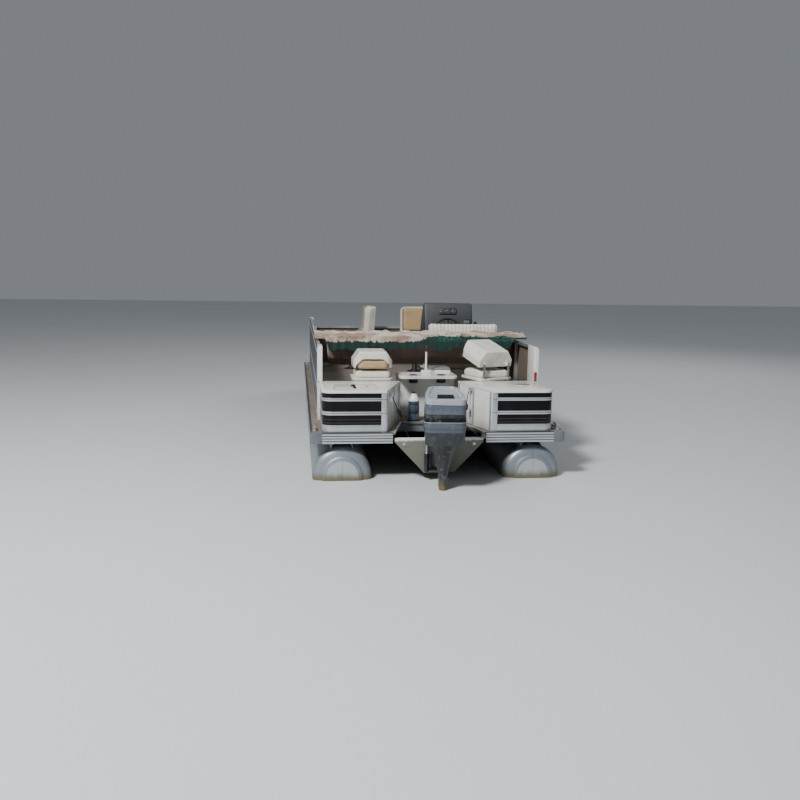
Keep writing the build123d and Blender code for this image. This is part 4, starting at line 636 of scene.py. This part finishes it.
for row in range(2):
    for column in range(3):
        rocker = bar((0.019, 0.034, 0.012), (0, 0, 0), 0.002)
        rocker.data.transform(on_dash(0.229 + 0.044 * row, 0.816 + 0.024 * column, 0.011)
                              @ turn(6, "X"))
        rockers.append(rocker)
settle(joined(rockers), "rocker_switches", "hull", cast, "black_plastic")

# Steering wheel: padded black rim with finger grips behind, three flat spokes and a domed centre
# cap, turning on the column.
WHEEL_Z = 1.2
WHEEL_OUT = 0.115
calm()
bpy.ops.mesh.primitive_torus_add(major_radius=0.175, minor_radius=0.0136, major_segments=96,
                                 minor_segments=18)
rim = bpy.context.object
for vertex in rim.data.vertices:
    around = math.atan2(vertex.co.y, vertex.co.x)
    grip = 0.0012 * max(0.0, math.cos(around * 24)) if vertex.co.z < 0 else 0.0
    vertex.co.z -= grip
spokes = [rim]
for angle in (90, 210, 330):
    spoke = bar((0.15, 0.024, 0.006), (0.098, 0, -0.004), 0.002)
    shape(spoke)
    pick("verts", lambda v: v.co.x > 0.1)
    bpy.ops.transform.resize(value=(1, 1.5, 1.3))
    calm()
    spoke.data.transform(turn(angle, "Z"))
    spokes.append(spoke)
hub = turned(36, [(-0.02, 0.034), (0.0, 0.036), (0.008, 0.035), (0.0075, 0.031), (0.0065, 0.0305),
                  (0.01, 0.024), (0.012, 0.012), (0.0125, 0.003)])
wheel = joined([*spokes, hub])
wheel_rise = (WHEEL_Z - WHEEL_OUT * math.sin(DASH_LEAN) - DASH_FOOT_Z) / math.cos(DASH_LEAN)
wheel.data.transform(on_dash(wheel_rise, 0.57, WHEEL_OUT))
settle(wheel, "helm_wheel", "steering_wheel", rubber, "black_plastic", "steering_wheel", angle=40)
dressed("steering_column", "hull", 0.003, rubber, "black_plastic")
dressed("control_box", "hull", 0.006, rubber, "black_plastic", 3)

# Upholstery: cream marine vinyl sewn over foam, fine leather grain, sun-bleached and grubby in the
# creases; the cushions in the chair backs are tan.
def vinyl(name, light, deep, seam_z=None):
    made = Finish(name, Sheen_Weight=0.08)
    grain = made.noise(420.0, 2.0)
    soil = made.ramp(made.noise(7.0, 6.0), 0.46, 0.78)
    colour = made.blend(soil * 0.45, light, deep)
    relief = grain
    if seam_z is not None:
        off = made.axis("Z") - seam_z
        stitch = off * off < SEAM_HALF ** 2
        colour = made.blend(stitch * 0.7, colour, tuple(part * 0.4 for part in deep))
        relief = grain - stitch * 2.0
    made.tint(colour)
    made.rough(soil, 0.38, 0.58)
    made.bump(relief, 0.25, 0.0006)
    return made


CREAM, CREAM_GRIME = (0.74, 0.71, 0.62), (0.36, 0.31, 0.23)
cream = vinyl("cream_vinyl", CREAM, CREAM_GRIME)
cream_seat = vinyl("cream_seat_vinyl", CREAM, CREAM_GRIME, 0.938)
tan = vinyl("tan_vinyl", (0.47, 0.33, 0.175), (0.26, 0.17, 0.085))


def cut_face(points):
    """A flat face with one corner at each point."""
    calm()
    bpy.ops.mesh.primitive_circle_add(vertices=len(points), radius=1, fill_type="NGON")
    piece = bpy.context.object
    for vertex, point in zip(piece.data.vertices, points):
        vertex.co = point
    return piece


def slab(points, corner, depth, segments=5):
    """Closed slab: a cut face with rounded corners drawn out by a depth."""
    piece = cut_face(points)
    shape(piece)
    bpy.ops.mesh.bevel(affect="VERTICES", offset=corner, segments=segments)
    whole()
    bpy.ops.mesh.extrude_region_move(TRANSFORM_OT_translate={"value": depth})
    close()
    return piece


PUFF_FRAMES = 20


def stuffed(low, high, corner, depth, voxel, swell, keep, edge=0.012):
    """Blow a slab up into a cushion; no point travels past the swell or out of its room."""
    piece = slab([low, (high[0], *low[1:]), high, (low[0], *high[1:])], corner, depth)
    modify(piece, "BEVEL", width=edge, segments=4)
    modify(piece, "REMESH", mode="VOXEL", voxel_size=voxel)
    start = [vertex.co.copy() for vertex in piece.data.vertices]
    cloth = piece.modifiers.new("stuffing", "CLOTH")
    stuffing = cloth.settings
    stuffing.use_pressure = True
    stuffing.uniform_pressure_force = 4.0
    stuffing.quality = 5
    stuffing.effector_weights.gravity = 0
    cloth.point_cache.frame_start = 1
    cloth.point_cache.frame_end = PUFF_FRAMES
    hold(piece)
    for tick in range(1, PUFF_FRAMES + 1):
        bpy.context.scene.frame_set(tick)
    bpy.ops.object.modifier_apply(modifier=cloth.name)
    bpy.context.scene.frame_set(1)
    for vertex, was in zip(piece.data.vertices, start):
        travel = vertex.co - was
        if travel.length > swell:
            vertex.co = was + travel * (swell / travel.length)
        vertex.co = keep(vertex.co)
    modify(piece, "SUBSURF", levels=1, render_levels=1)
    for vertex in piece.data.vertices:
        vertex.co = keep(vertex.co)
    return piece


def held(value, low, high):
    return min(max(value, low), high)


def seat_room(co):
    """Nearest place between the seat shell and the height of the cushion's crown."""
    return Vector((co.x, co.y, held(co.z, 0.4246, 0.5)))


def back_room(co):
    """Nearest place in the hollow of a chair back, whose floor slopes up to the sides."""
    floor = -0.06 + max(abs(co.x) - 0.1, 0.0) * 0.86
    return Vector((held(co.x, -0.1688, 0.1688), held(co.y, floor, 0.0435),
                   held(co.z, 0.0385, 0.4005)))


seat_form = stuffed((-0.191, -0.168, 0.426), (0.191, 0.186, 0.426), 0.045, (0, 0, 0.066), 0.009,
                    0.012, seat_room, 0.024)
back_form = stuffed((-0.166, -0.052, 0.041), (0.166, -0.052, 0.398), 0.05, (0, 0.084, 0), 0.009,
                    0.008, back_room, 0.018)

# Four folding chairs: rotationally moulded white shells on swivel posts, a cream cushion on each
# seat and a tan one in the hollow of each back, which tips forward on two flat steel hinges.
chairs = (("aft_port", -0.575, 0.935, 180.0, -90.0), ("aft_starboard", 0.64, 0.935, 340.0, -75.0),
          ("bow_port", -0.5, 5.23, 270.0, 4.0), ("bow_starboard", 0.43, 4.9, 180.0, 4.0))
DECK_Z = 0.46
HINGE_Y, HINGE_Z = -0.19, 0.556
pin_rings = [(0.0, 0.013), (0.003, 0.013), (0.004, 0.01), (0.008, 0.008), (0.01, 0.003)]
shell_white = Finish("chair_shell_plastic", Coat_Weight=0.15)
mark = shell_white.ramp(shell_white.noise(8.0, 7.0), 0.46, 0.78)
shell_white.tint(shell_white.blend(mark * 0.5, (0.72, 0.7, 0.63), (0.38, 0.34, 0.26)))
shell_white.rough(mark, 0.3, 0.52)
shell_white.bump(shell_white.noise(150.0, 2.0), 0.12, 0.0008)


def copied(form, place):
    twin = added(form.name, form.data.copy())
    twin.data.transform(place)
    return twin


for chair, x, ahead, heading, lean in chairs:
    stand = at(x, STERN + ahead, DECK_Z) @ turn(-heading, "Z")
    hinge = stand @ at(0, HINGE_Y, HINGE_Z) @ turn(lean, "X")
    seat = copied(seat_form, stand)
    settle(seat, f"seat_cushion_{chair}", f"chair_{chair}", cream_seat, "chair_vinyl",
           f"chair_{chair}_pad", angle=60)
    back = copied(back_form, hinge)
    settle(back, f"back_cushion_{chair}", f"chair_{chair}_back", tan, "chair_vinyl",
           f"chair_{chair}_back_pad", angle=60)
    dressed(f"chair_{chair}_shell", f"chair_{chair}", 0.005, shell_white, "chair_shell", 3)
    shell = dressed(f"chair_{chair}_back", f"chair_{chair}_back", 0.0, shell_white, "chair_shell")
    modify(shell, "REMESH", mode="VOXEL", voxel_size=0.006)
    modify(shell, "SMOOTH", factor=0.5, iterations=14)
    smooth(shell, 70)
    pins = []
    for side in (-1, 1):
        pin_at = stand @ at(side * 0.15, HINGE_Y, HINGE_Z) @ turn(side * 90, "Y")
        pins.append(turned(20, pin_rings, pin_at))
        strap = bar((0.0085, 0.032, 0.15), (side * 0.147, HINGE_Y, 0.499), 0.0012)
        strap.data.transform(stand)
        pins.append(strap)
    settle(joined(pins), f"hinge_straps_{chair}", f"chair_{chair}", cast, "black_metal")
bpy.data.objects.remove(seat_form)
bpy.data.objects.remove(back_form)
dressed("chair_posts", "hull", 0.003, rubber, "black_metal")

# Helm bench: a white moulded base screwed to the deck with a cream seat cushion on it, and a thick
# rolled backrest sewn into upright pleats.
PLEAT_PITCH, PLEAT_DEPTH = 0.0435, 0.008
PLEAT_FROM = 1.0
dressed("bench_base", "hull", 0.01, gelcoat, "white_moulding", 3)


def bench_seat_room(co):
    return Vector((co.x, held(co.y, -0.899, -0.4805), held(co.z, 0.8155, 0.9255)))


def bench_back_room(co):
    return Vector((co.x, held(co.y, -1.02, -0.9005), held(co.z, 0.8155, 1.3795)))


bench_seat = stuffed((0.185, -0.89, 0.822), (1.025, -0.492, 0.822), 0.03, (0, 0, 0.088), 0.013,
                     0.014, bench_seat_room)
bench_cream = vinyl("bench_vinyl", CREAM, CREAM_GRIME, 0.902)
settle(bench_seat, "bench_cushion", "hull", bench_cream, "white_vinyl", "bench_seat_pad", angle=60)
bench_back = stuffed((0.185, -1.008, 0.825), (1.025, -1.008, 1.366), 0.035, (0, 0.096, 0), 0.013,
                     0.014, bench_back_room)
for vertex in bench_back.data.vertices:
    pleat = abs(math.sin(math.pi * (vertex.co.x - 0.17) / PLEAT_PITCH)) ** 0.5 - 1.0
    rise = held((vertex.co.z - PLEAT_FROM) / 0.05, 0.0, 1.0)
    vertex.co += vertex.normal * PLEAT_DEPTH * pleat * rise
settle(bench_back, "bench_backrest", "hull", cream, "white_vinyl", "bench_back_pad", angle=60)

# Stern light: a white plastic pole in a moulded foot screwed to the shelf, with a black-capped lamp
# pressed on its top.
lamp_white = Finish("lamp_white_plastic", Coat_Weight=0.3)
aged_white = lamp_white.noise(12.0, 5.0)
lamp_white.tint(lamp_white.blend(aged_white, (0.7, 0.7, 0.66), (0.84, 0.84, 0.81)))
lamp_white.rough(aged_white, 0.3, 0.45)
lamp_dark = mottled("lamp_black_lens", (30.0,), (0.01, 0.011, 0.012), (0.03, 0.03, 0.032), 50.0,
                    (0.15, 0.3), Coat_Weight=0.6)
light_x, light_y = 0.006, STERN + 0.99
light_at = at(light_x, light_y, 0)
pole = turned(28, [(0.939, 0.014), (0.955, 0.014), (0.962, 0.0102), (1.13, 0.01),
                   (1.134, 0.01)], light_at)
foot = bar((0.1, 0.06, 0.034), (light_x, light_y, 0.922), 0.007, 3)
pole = joined([foot, pole])
settle(pole, "light_pole", "hull", lamp_white, "lamp_white", "stern_light", angle=40)
lamp_head = turned(28, [
    (1.133, 0.012), (1.136, 0.0165), (1.146, 0.0168), (1.148, 0.0155), (1.178, 0.0155),
    (1.18, 0.0168), (1.189, 0.0165), (1.194, 0.012), (1.195, 0.004)], light_at)
settle(lamp_head, "light_head", "hull", lamp_dark, "black_plastic", angle=40)

# Oil bottle: blow-moulded dark blue bottle standing in a tray on the deck, with a white cone spout
# screwed on and a black knob.
blue = Finish("blue_bottle_plastic", Coat_Weight=0.5)
ribs = blue.node("ShaderNodeTexWave", {"bands_direction": "Z"},
                 {"Vector": blue.place, "Scale": 12.0}, "Fac")
blue.tint(blue.mixed(16.0, 5.0, (0.016, 0.025, 0.045), (0.055, 0.075, 0.11)))
blue.rough(blue.noise(30.0), 0.16, 0.34)
blue.bump(ribs, 0.3, 0.002)
bottle_x, bottle_y = -0.165, STERN + 0.642
bottle_at = at(bottle_x, bottle_y, 0.472)
body = turned(48, [
    (0.0, 0.05), (0.004, 0.0555), (0.06, 0.056), (0.064, 0.053), (0.07, 0.053),
    (0.074, 0.056), (0.15, 0.056), (0.154, 0.0535), (0.16, 0.0535), (0.164, 0.056),
    (0.185, 0.0555), (0.197, 0.053)], bottle_at)
settle(body, "bottle_body", "hull", blue, "blue_bottle", "oil_bottle", angle=40)
spout = turned(48, [(0.194, 0.0535), (0.198, 0.056), (0.204, 0.0555), (0.266, 0.0245),
                    (0.27, 0.02)], bottle_at)
settle(spout, "bottle_spout", "hull", lamp_white, "lamp_white", angle=40)
knob = turned(24, [(0.268, 0.015), (0.272, 0.016), (0.286, 0.0155), (0.29, 0.013)], bottle_at)
for vertex in knob.data.vertices:
    out_x, out_y = vertex.co.x - bottle_x, vertex.co.y - bottle_y
    swell = 1 + 0.05 * math.cos(math.atan2(out_y, out_x) * 12)
    vertex.co.x = bottle_x + out_x * swell
    vertex.co.y = bottle_y + out_y * swell
settle(knob, "bottle_knob", "hull", rubber, "black_plastic")
tray = bar((0.13, 0.13, 0.01), (bottle_x, bottle_y, 0.4655), 0.003)
settle(tray, "bottle_tray", "hull", rubber, "black_plastic")

# Small fittings: cast cleats, canopy forks and hose glands, a red reflector let into the starboard
# fence end, a round grey plate on the starboard box, and the port lid's latch and webbing pull.
dressed("fittings", "hull", 0.002, bright, "bright_aluminium")
red = Finish("red_lens", Coat_Weight=0.8, Coat_Roughness=0.05)
facets = red.node("ShaderNodeTexVoronoi", {}, {"Vector": red.place, "Scale": 220.0}, "Distance")
red.tint(red.blend(facets, (0.17, 0.01, 0.007), (0.33, 0.026, 0.016)))
red.rough(facets, 0.12, 0.3)
red.bump(facets, 0.3, 0.0008)
reflector = bar((0.026, 0.014, 0.094), (1.099, STERN + 0.6835, 0.907), 0.005, 3)
settle(reflector, "side_reflector", "hull", red, "white_moulding", angle=40)
plate = turned(48, [
    (0.862, 0.0705), (0.8638, 0.0705), (0.865, 0.069), (0.8652, 0.06), (0.864, 0.0585),
    (0.864, 0.048), (0.8652, 0.0465), (0.8655, 0.004)], at(0.895, STERN + 0.4, 0))
settle(plate, "deck_plate", "hull", grey_lid, "grey_moulding", angle=40)
latch = [bar((0.056, 0.022, 0.005), (-0.668, STERN + 0.32, 0.853), 0.0015),
         bar((0.03, 0.008, 0.01), (-0.668, STERN + 0.32, 0.857), 0.002)]
settle(joined(latch), "lid_latch", "box_lid", rubber, "black_plastic")
calm()
bpy.ops.mesh.primitive_grid_add(x_subdivisions=2, y_subdivisions=20, size=1)
pull = bpy.context.object
for vertex in pull.data.vertices:
    share = vertex.co.y + 0.5
    vertex.co = (-0.795 + vertex.co.x * 0.026 - 0.02 * share, STERN + 0.165 + 0.18 * share,
                 0.8612 + 0.026 * math.sin(math.pi * share) ** 2)
modify(pull, "SOLIDIFY", thickness=0.0022, offset=1.0)
settle(pull, "lid_pull", "box_lid", rubber, "black_plastic", angle=40)

# Folded canopy: bent aluminium bows lying on the fences and pinned to their forks, with the canvas
# rolled over them. Its top is bleached beige, the hem frayed green with painted sunlight on its
# upper band and painted shade on the hanging flap, and the slack below painted brown for its shade.
NEAR, FAR = STERN + 1.355, STERN + 1.93
CLOTH_PORT, CLOTH_STARBOARD = -1.146, 1.182
CLOTH_TOP = 1.312
CLOTH_COLUMNS, CLOTH_ROWS = 250, 104
FLAP_SHARE = 0.1
paint("canopy_frame", bright)
canvas = Finish("canopy_canvas", Sheen_Weight=0.25)
weave = canvas.noise(700.0, 2.0)
stain = canvas.ramp(canvas.noise(4.0, 7.0, (0.7, 1.3, 1), 0.6), 0.44, 0.6)
rose = canvas.blend(stain, (0.52, 0.45, 0.37), (0.27, 0.18, 0.13))
ragged = (canvas.noise(34.0, 6.0, (1, 0.4, 0.8)) - 0.5) * 0.085
# Painted sunlight: how far to starboard the lit upper band of the green hem reaches.
sunlit_band_starboard = canvas.ramp(canvas.axis("X") + (canvas.noise(5.0, 3.0) - 0.5) * 0.8, 0.05, 0.3)
frays = canvas.ramp(canvas.noise(46.0, 6.0, (1, 1, 2)), 0.4, 0.62)
green = canvas.blend(frays, (0.0008, 0.011, 0.01), (0.01, 0.105, 0.078))
# Painted shade: the slack belly of the beige cloth is coloured brown for the shade it hangs in.
shaded_belly_brown = canvas.mixed(6.0, 6.0, (0.16, 0.112, 0.092), (0.38, 0.275, 0.225))
starboard_share = canvas.ramp(canvas.axis("X"), -0.1, 0.18)
hem_top = canvas.level(starboard_share, 1.205, 1.272)
near = canvas.axis("Y") < NEAR + 0.03
hem = canvas.ramp(canvas.axis("Z") + ragged, hem_top + 0.006, hem_top - 0.004) * near
shaded_belly_mask = canvas.ramp(canvas.axis("Z") + ragged, 1.185, 1.165) * (1 - near)
# Two copies of the hem's green: a darker one on the hanging flap for painted shade, and the
# lighter,
# frayed one on the upper band towards starboard for painted sunlight.
shaded_flap_green = canvas.mixed(12.0, 5.0, (0.0012, 0.014, 0.012), (0.004, 0.036, 0.031))
sunlit_band_mask = canvas.ramp(canvas.axis("Z") + ragged * 0.5, 1.205, 1.215) * sunlit_band_starboard
lit_and_shaded_green = canvas.blend(sunlit_band_mask, shaded_flap_green, green)
canvas.tint(canvas.blend(shaded_belly_mask, canvas.blend(hem, rose, lit_and_shaded_green), shaded_belly_brown))
canvas.rough(weave, 0.8, 0.95)
canvas.bump(weave, 0.35, 0.0008)
profile = (
    (0.0, NEAR + 0.004, 1.128), (0.07, NEAR + 0.002, 1.205), (0.115, NEAR + 0.006, 1.262),
    (0.16, NEAR + 0.05, 1.288), (0.3, NEAR + 0.25, 1.286), (0.44, NEAR + 0.47, 1.284),
    (0.49, FAR - 0.008, 1.262), (0.53, FAR - 0.006, 1.205), (0.59, FAR - 0.014, 1.13),
    (0.68, FAR - 0.11, 0.965), (0.8, NEAR + 0.28, 0.925), (0.9, NEAR + 0.13, 1.01),
    (0.97, NEAR + 0.05, 1.13), (1.0, NEAR + 0.024, 1.2))


def along_profile(share):
    """Y and Z at a share of the way round the roll, from the flap's hem to its inner edge."""
    for (s0, y0, z0), (s1, y1, z1) in zip(profile, profile[1:]):
        if share <= s1:
            part = (share - s0) / (s1 - s0)
            return y0 + (y1 - y0) * part, z0 + (z1 - z0) * part
    return profile[-1][1], profile[-1][2]


def wave(x, y, z):
    """Smooth random height, from -1 to 1, the same for the same place."""
    return noise.noise(Vector((x, y, z)))


def eased(value, low, high):
    """Soft step from 0 at one value to 1 at the other."""
    part = held((value - low) / (high - low), 0.0, 1.0)
    return part * part * (3 - 2 * part)


calm()
bpy.ops.mesh.primitive_grid_add(x_subdivisions=CLOTH_COLUMNS, y_subdivisions=CLOTH_ROWS, size=1)
cloth = bpy.context.object
for vertex in cloth.data.vertices:
    across, share = vertex.co.x + 0.5, vertex.co.y + 0.5
    x = CLOTH_PORT + across * (CLOTH_STARBOARD - CLOTH_PORT)
    y, z = along_profile(share)
    beyond = eased(abs(x), 0.985, 1.045)
    below = eased(z, 1.245, 1.225)
    z += beyond * below * (1.237 - z)
    if share < FLAP_SHARE:
        frill = (FLAP_SHARE - share) / FLAP_SHARE * (1 - beyond)
        z += frill * (0.01 * math.sin(x * 21.0) + 0.05 * wave(x * 4.0, 1.7, 0))
        z += frill * 0.02 * wave(x * 40.0, 1.7, 0)
        y -= frill * 0.004 * math.sin(x * 60.0)
    crease = wave(x * 3.2, y * 9.0, 3.1) * 0.6
    crease += abs(wave(x * 7.5 + y * 4.0, y * 15.0, 8.4)) * 0.9
    crease += wave(x * 24.0, y * 40.0, z * 30.0) * 0.16
    top = eased(z, 1.25, 1.275)
    z += top * (crease * 0.044 - 0.016)
    droop = (1 - top) * (1 - eased(share, 0.13, 0.2)) * (1 - beyond)
    z += droop * 0.02 * wave(x * 9.0, 4.4, 0)
    sag = (1 - top) * eased(share, 0.55, 0.62) * (1 - beyond)
    z += sag * 0.022 * wave(x * 2.1, 0.3, share * 3.0)
    z += sag * 0.01 * math.sin(x * 3.1 + 0.8)
    fold = wave(x * 12.0, share * 4.0, 5.0)
    edge = (1 - top) * (1 - eased(share, 0.14, 0.2))
    y += sag * fold * 0.018 + edge * abs(fold) * 0.02
    vertex.co = (x, held(y, NEAR + 0.0005, FAR - 0.0005), min(z, CLOTH_TOP))
modify(cloth, "SOLIDIFY", thickness=0.0018, offset=0.0)
settle(cloth, "canopy_sheet", "canopy", canvas, "canvas", "canopy_cloth", angle=70)

# Outboard motor, resting with its tail a little to port: clamp brackets hooked over the transom, a
# swivel bracket between them, and the trim cylinder on the port side.
STEER_AXIS_Y = STERN - 0.1
STEER_REST = at(0, STEER_AXIS_Y, 0) @ turn(-5.5, "Z") @ at(0, -STEER_AXIS_Y, 0)
motor_black = Finish("motor_black_enamel", Coat_Weight=0.3)
salt = motor_black.ramp(motor_black.noise(28.0, 6.0), 0.52, 0.74)
motor_black.tint(motor_black.blend(salt * 0.4, (0.006, 0.008, 0.012), (0.11, 0.115, 0.12)))
motor_black.rough(salt, 0.28, 0.6)
motor_black.bump(motor_black.noise(120.0, 3.0), 0.2, 0.0008)
dressed("motor_clamp", "hull", 0.002, motor_black, "motor_black")
dressed("motor_swivel", "motor_swivel", 0.003, motor_black, "motor_black")
plunger = turned(24, [(0.262, 0.009), (0.263, 0.015), (0.272, 0.015), (0.274, 0.0098),
                      (0.362, 0.0098), (0.364, 0.009)], at(-0.126, STERN - 0.014, 0))
settle(plunger, "trim_rod", "hull", bright, "bright_aluminium", angle=40)
ring = turned(36, [(-0.006, 0.0195), (-0.005, 0.0225), (0.005, 0.0225), (0.006, 0.0195)],
              at(-0.1075, STERN - 0.03, 0.418) @ turn(90, "Y"))
settle(ring, "tilt_tube_nut", "hull", bright, "bright_aluminium", angle=40)

# Cowl top: one compression-moulded cover with a raised bright rim round a sunk silver panel, a
# lifting recess at its aft edge, a shadow groove below the rim and a recessed black band.
AFT, FORE = STERN - 0.545, STERN - 0.048
COWL_FOOT = 0.6485
BAND_LOW, BAND_HIGH = 0.656, 0.725
cowl_paint = Finish("cowl_bands", Coat_Weight=0.35, Coat_Roughness=0.12)
level = cowl_paint.axis("Z")
slope_line = level - (cowl_paint.axis("Y") - AFT) * 0.1288
scuff = cowl_paint.ramp(cowl_paint.noise(18.0, 6.0), 0.5, 0.76)
silver = cowl_paint.mixed(5.0, 4.0, (0.26, 0.29, 0.33), (0.38, 0.41, 0.45))
blue_grey = cowl_paint.mixed(6.0, 4.0, (0.058, 0.074, 0.098), (0.092, 0.114, 0.142))
band_black = cowl_paint.blend(scuff, (0.002, 0.0024, 0.004), (0.01, 0.011, 0.014))
lid_side = cowl_paint.ramp(slope_line, 0.8065, 0.8085)
coat = cowl_paint.blend(lid_side, blue_grey, silver)
coat = cowl_paint.blend((level < BAND_HIGH) * (level > BAND_LOW), coat, band_black)
coat = cowl_paint.blend(level < BAND_LOW, coat, (0.26, 0.29, 0.32))
cowl_paint.tint(cowl_paint.blend(scuff * 0.07, coat, (0.55, 0.55, 0.52)))
cowl_paint.rough(scuff, 0.26, 0.5)
cowl_paint.bump(cowl_paint.noise(260.0, 2.0), 0.08, 0.0005)


def score(piece, low, high, depth):
    """Press a groove round a piece between two heights."""
    shape(piece)
    for z in (low, high):
        whole()
        bpy.ops.mesh.bisect(plane_co=(0, 0, z), plane_no=(0, 0, 1))
    pick("faces", lambda f: low < f.calc_center_median().z < high and abs(f.normal.z) < 0.6)
    bpy.ops.mesh.extrude_region_shrink_fatten(TRANSFORM_OT_shrink_fatten={"value": -depth})
    calm()


shoulder = AFT + 0.224
outline = ((-0.191, AFT), (0.191, AFT), (0.191, shoulder), (0.138, FORE), (-0.138, FORE),
           (-0.191, shoulder))
cowl = slab([(x, y, COWL_FOOT) for x, y in outline], 0.06, (0, 0, 0.29), 6)
shape(cowl)
pick("verts", lambda v: v.co.z > 0.9)
bpy.ops.transform.resize(value=(0.906, 0.928, 1), center_override=(0, (AFT + FORE) / 2, 0.93))
whole()
bpy.ops.mesh.bisect(plane_co=(0, AFT, 0.851), plane_no=(0, -0.1277, 0.9918), clear_outer=True,
                    use_fill=True)
pick("faces", lambda f: f.normal.z > 0.8 and f.calc_center_median().z > 0.8)
bpy.ops.mesh.inset(thickness=0.01)
bpy.ops.mesh.inset(thickness=0.01, depth=0.006)
bpy.ops.mesh.inset(thickness=0.014)
bpy.ops.mesh.inset(thickness=0.006, depth=-0.016)
calm()
score(cowl, 0.8, 0.8065, 0.004)
score(cowl, BAND_LOW + 0.0005, BAND_HIGH, 0.0035)
mould = bar((0.15, 0.074, 0.06), (0, AFT + 0.112, 0.866), 0.006, 3)
modify(cowl, "BOOLEAN", object=mould, operation="DIFFERENCE", solver="EXACT")
bpy.data.objects.remove(mould)
modify(cowl, "BEVEL", width=0.0022, segments=2, limit_method="ANGLE",
       angle_limit=math.radians(32))
cowl.data.transform(STEER_REST)
settle(cowl, "cowl_cover", "motor", cowl_paint, "motor_grey", "cowl_top", angle=40)
slats = [bar((0.144, 0.004, 0.034), (0, AFT + 0.084 + 0.011 * step, 0.862 + 0.0014 * step), 0.001)
         for step in range(6)]
slats.append(bar((0.146, 0.07, 0.004), (0, AFT + 0.112, 0.8405), 0.001))
grille = joined(slats)
grille.data.transform(STEER_REST)
settle(grille, "recess_grille", "motor", rubber, "black_plastic")

# Cowl pan: the moulded lower half, clipped under the cover: blue grey with two fine lines above,
# darker and duller below, drawn in to the leg.
pan_paint = Finish("pan_bands", Coat_Weight=0.25)
level = pan_paint.axis("Z")
scuff = pan_paint.ramp(pan_paint.noise(20.0, 6.0), 0.5, 0.75)
upper = pan_paint.mixed(6.0, 4.0, (0.052, 0.066, 0.088), (0.082, 0.1, 0.126))
lower = pan_paint.mixed(8.0, 5.0, (0.01, 0.012, 0.017), (0.022, 0.026, 0.033))
coat = pan_paint.blend(pan_paint.ramp(level, 0.563, 0.558), upper, lower)
lines = (level > 0.5975) * (level < 0.6005) + (level > 0.5845) * (level < 0.5875)
coat = pan_paint.blend(lines, coat, (0.006, 0.008, 0.011))
pan_paint.tint(pan_paint.blend(scuff * 0.1, coat, (0.42, 0.42, 0.4)))
pan_paint.rough(scuff, 0.3, 0.55)
pan_paint.bump(pan_paint.noise(200.0, 2.0), 0.1, 0.0006)
dressed("cowl_pan", "motor", 0.008, pan_paint, "motor_grey", 3)
paint("engine_block", cast)

# Transom bolts: a bright steel bolt with a washer through the pod's transom on each side of the
# motor, for the brackets that hold the pod under the deck.
BOLT_X, BOLT_Y, BOLT_Z = 0.335, STERN + 0.02, 0.35
bolts = []
for x in (-BOLT_X, BOLT_X):
    place = at(x, BOLT_Y, BOLT_Z) @ turn(90, "X")
    bolts += [turned(24, [(-0.001, 0.016), (0.002, 0.016), (0.0025, 0.0145)], place),
              turned(6, [(0.002, 0.011), (0.009, 0.011), (0.0105, 0.0095)], place)]
settle(joined(bolts), "transom_bolts", "hull", bright, "bright_aluminium")

# Leg and propeller: cast midsection and gearcase bolted under the pan, dark enamel flecked with
# salt and stained yellow brown lower down; a three-bladed propeller on its shaft.
leg_paint = Finish("stained_leg_enamel", Coat_Weight=0.2)
level = leg_paint.axis("Z") + (leg_paint.noise(14.0, 5.0) - 0.5) * 0.1
dark = leg_paint.mixed(9.0, 5.0, (0.006, 0.008, 0.012), (0.018, 0.021, 0.028))
weed = leg_paint.mixed(30.0, 5.0, (0.045, 0.036, 0.012), (0.17, 0.145, 0.07))
scale = leg_paint.ramp(leg_paint.noise(26.0, 8.0), 0.56, 0.68)
dark = leg_paint.blend(scale * 0.55, dark, (0.15, 0.16, 0.165))
sunk = leg_paint.ramp(level, 0.14, 0.01)
leg_paint.tint(leg_paint.blend(sunk, dark, weed))
leg_paint.rough(sunk, 0.3, 0.75)
leg_paint.bump(leg_paint.noise(90.0, 4.0), 0.25, 0.001)
dressed("motor_leg", "motor", 0.006, leg_paint, "motor_dark", 3)
steel = mottled("propeller_enamel", (14.0, 5.0), (0.02, 0.022, 0.026), (0.07, 0.07, 0.07), 40.0,
                (0.35, 0.6), (120.0, 0.2, 0.0008), Metallic=0.4)
dressed("propeller", "propeller", 0.002, steel, "propeller_metal")
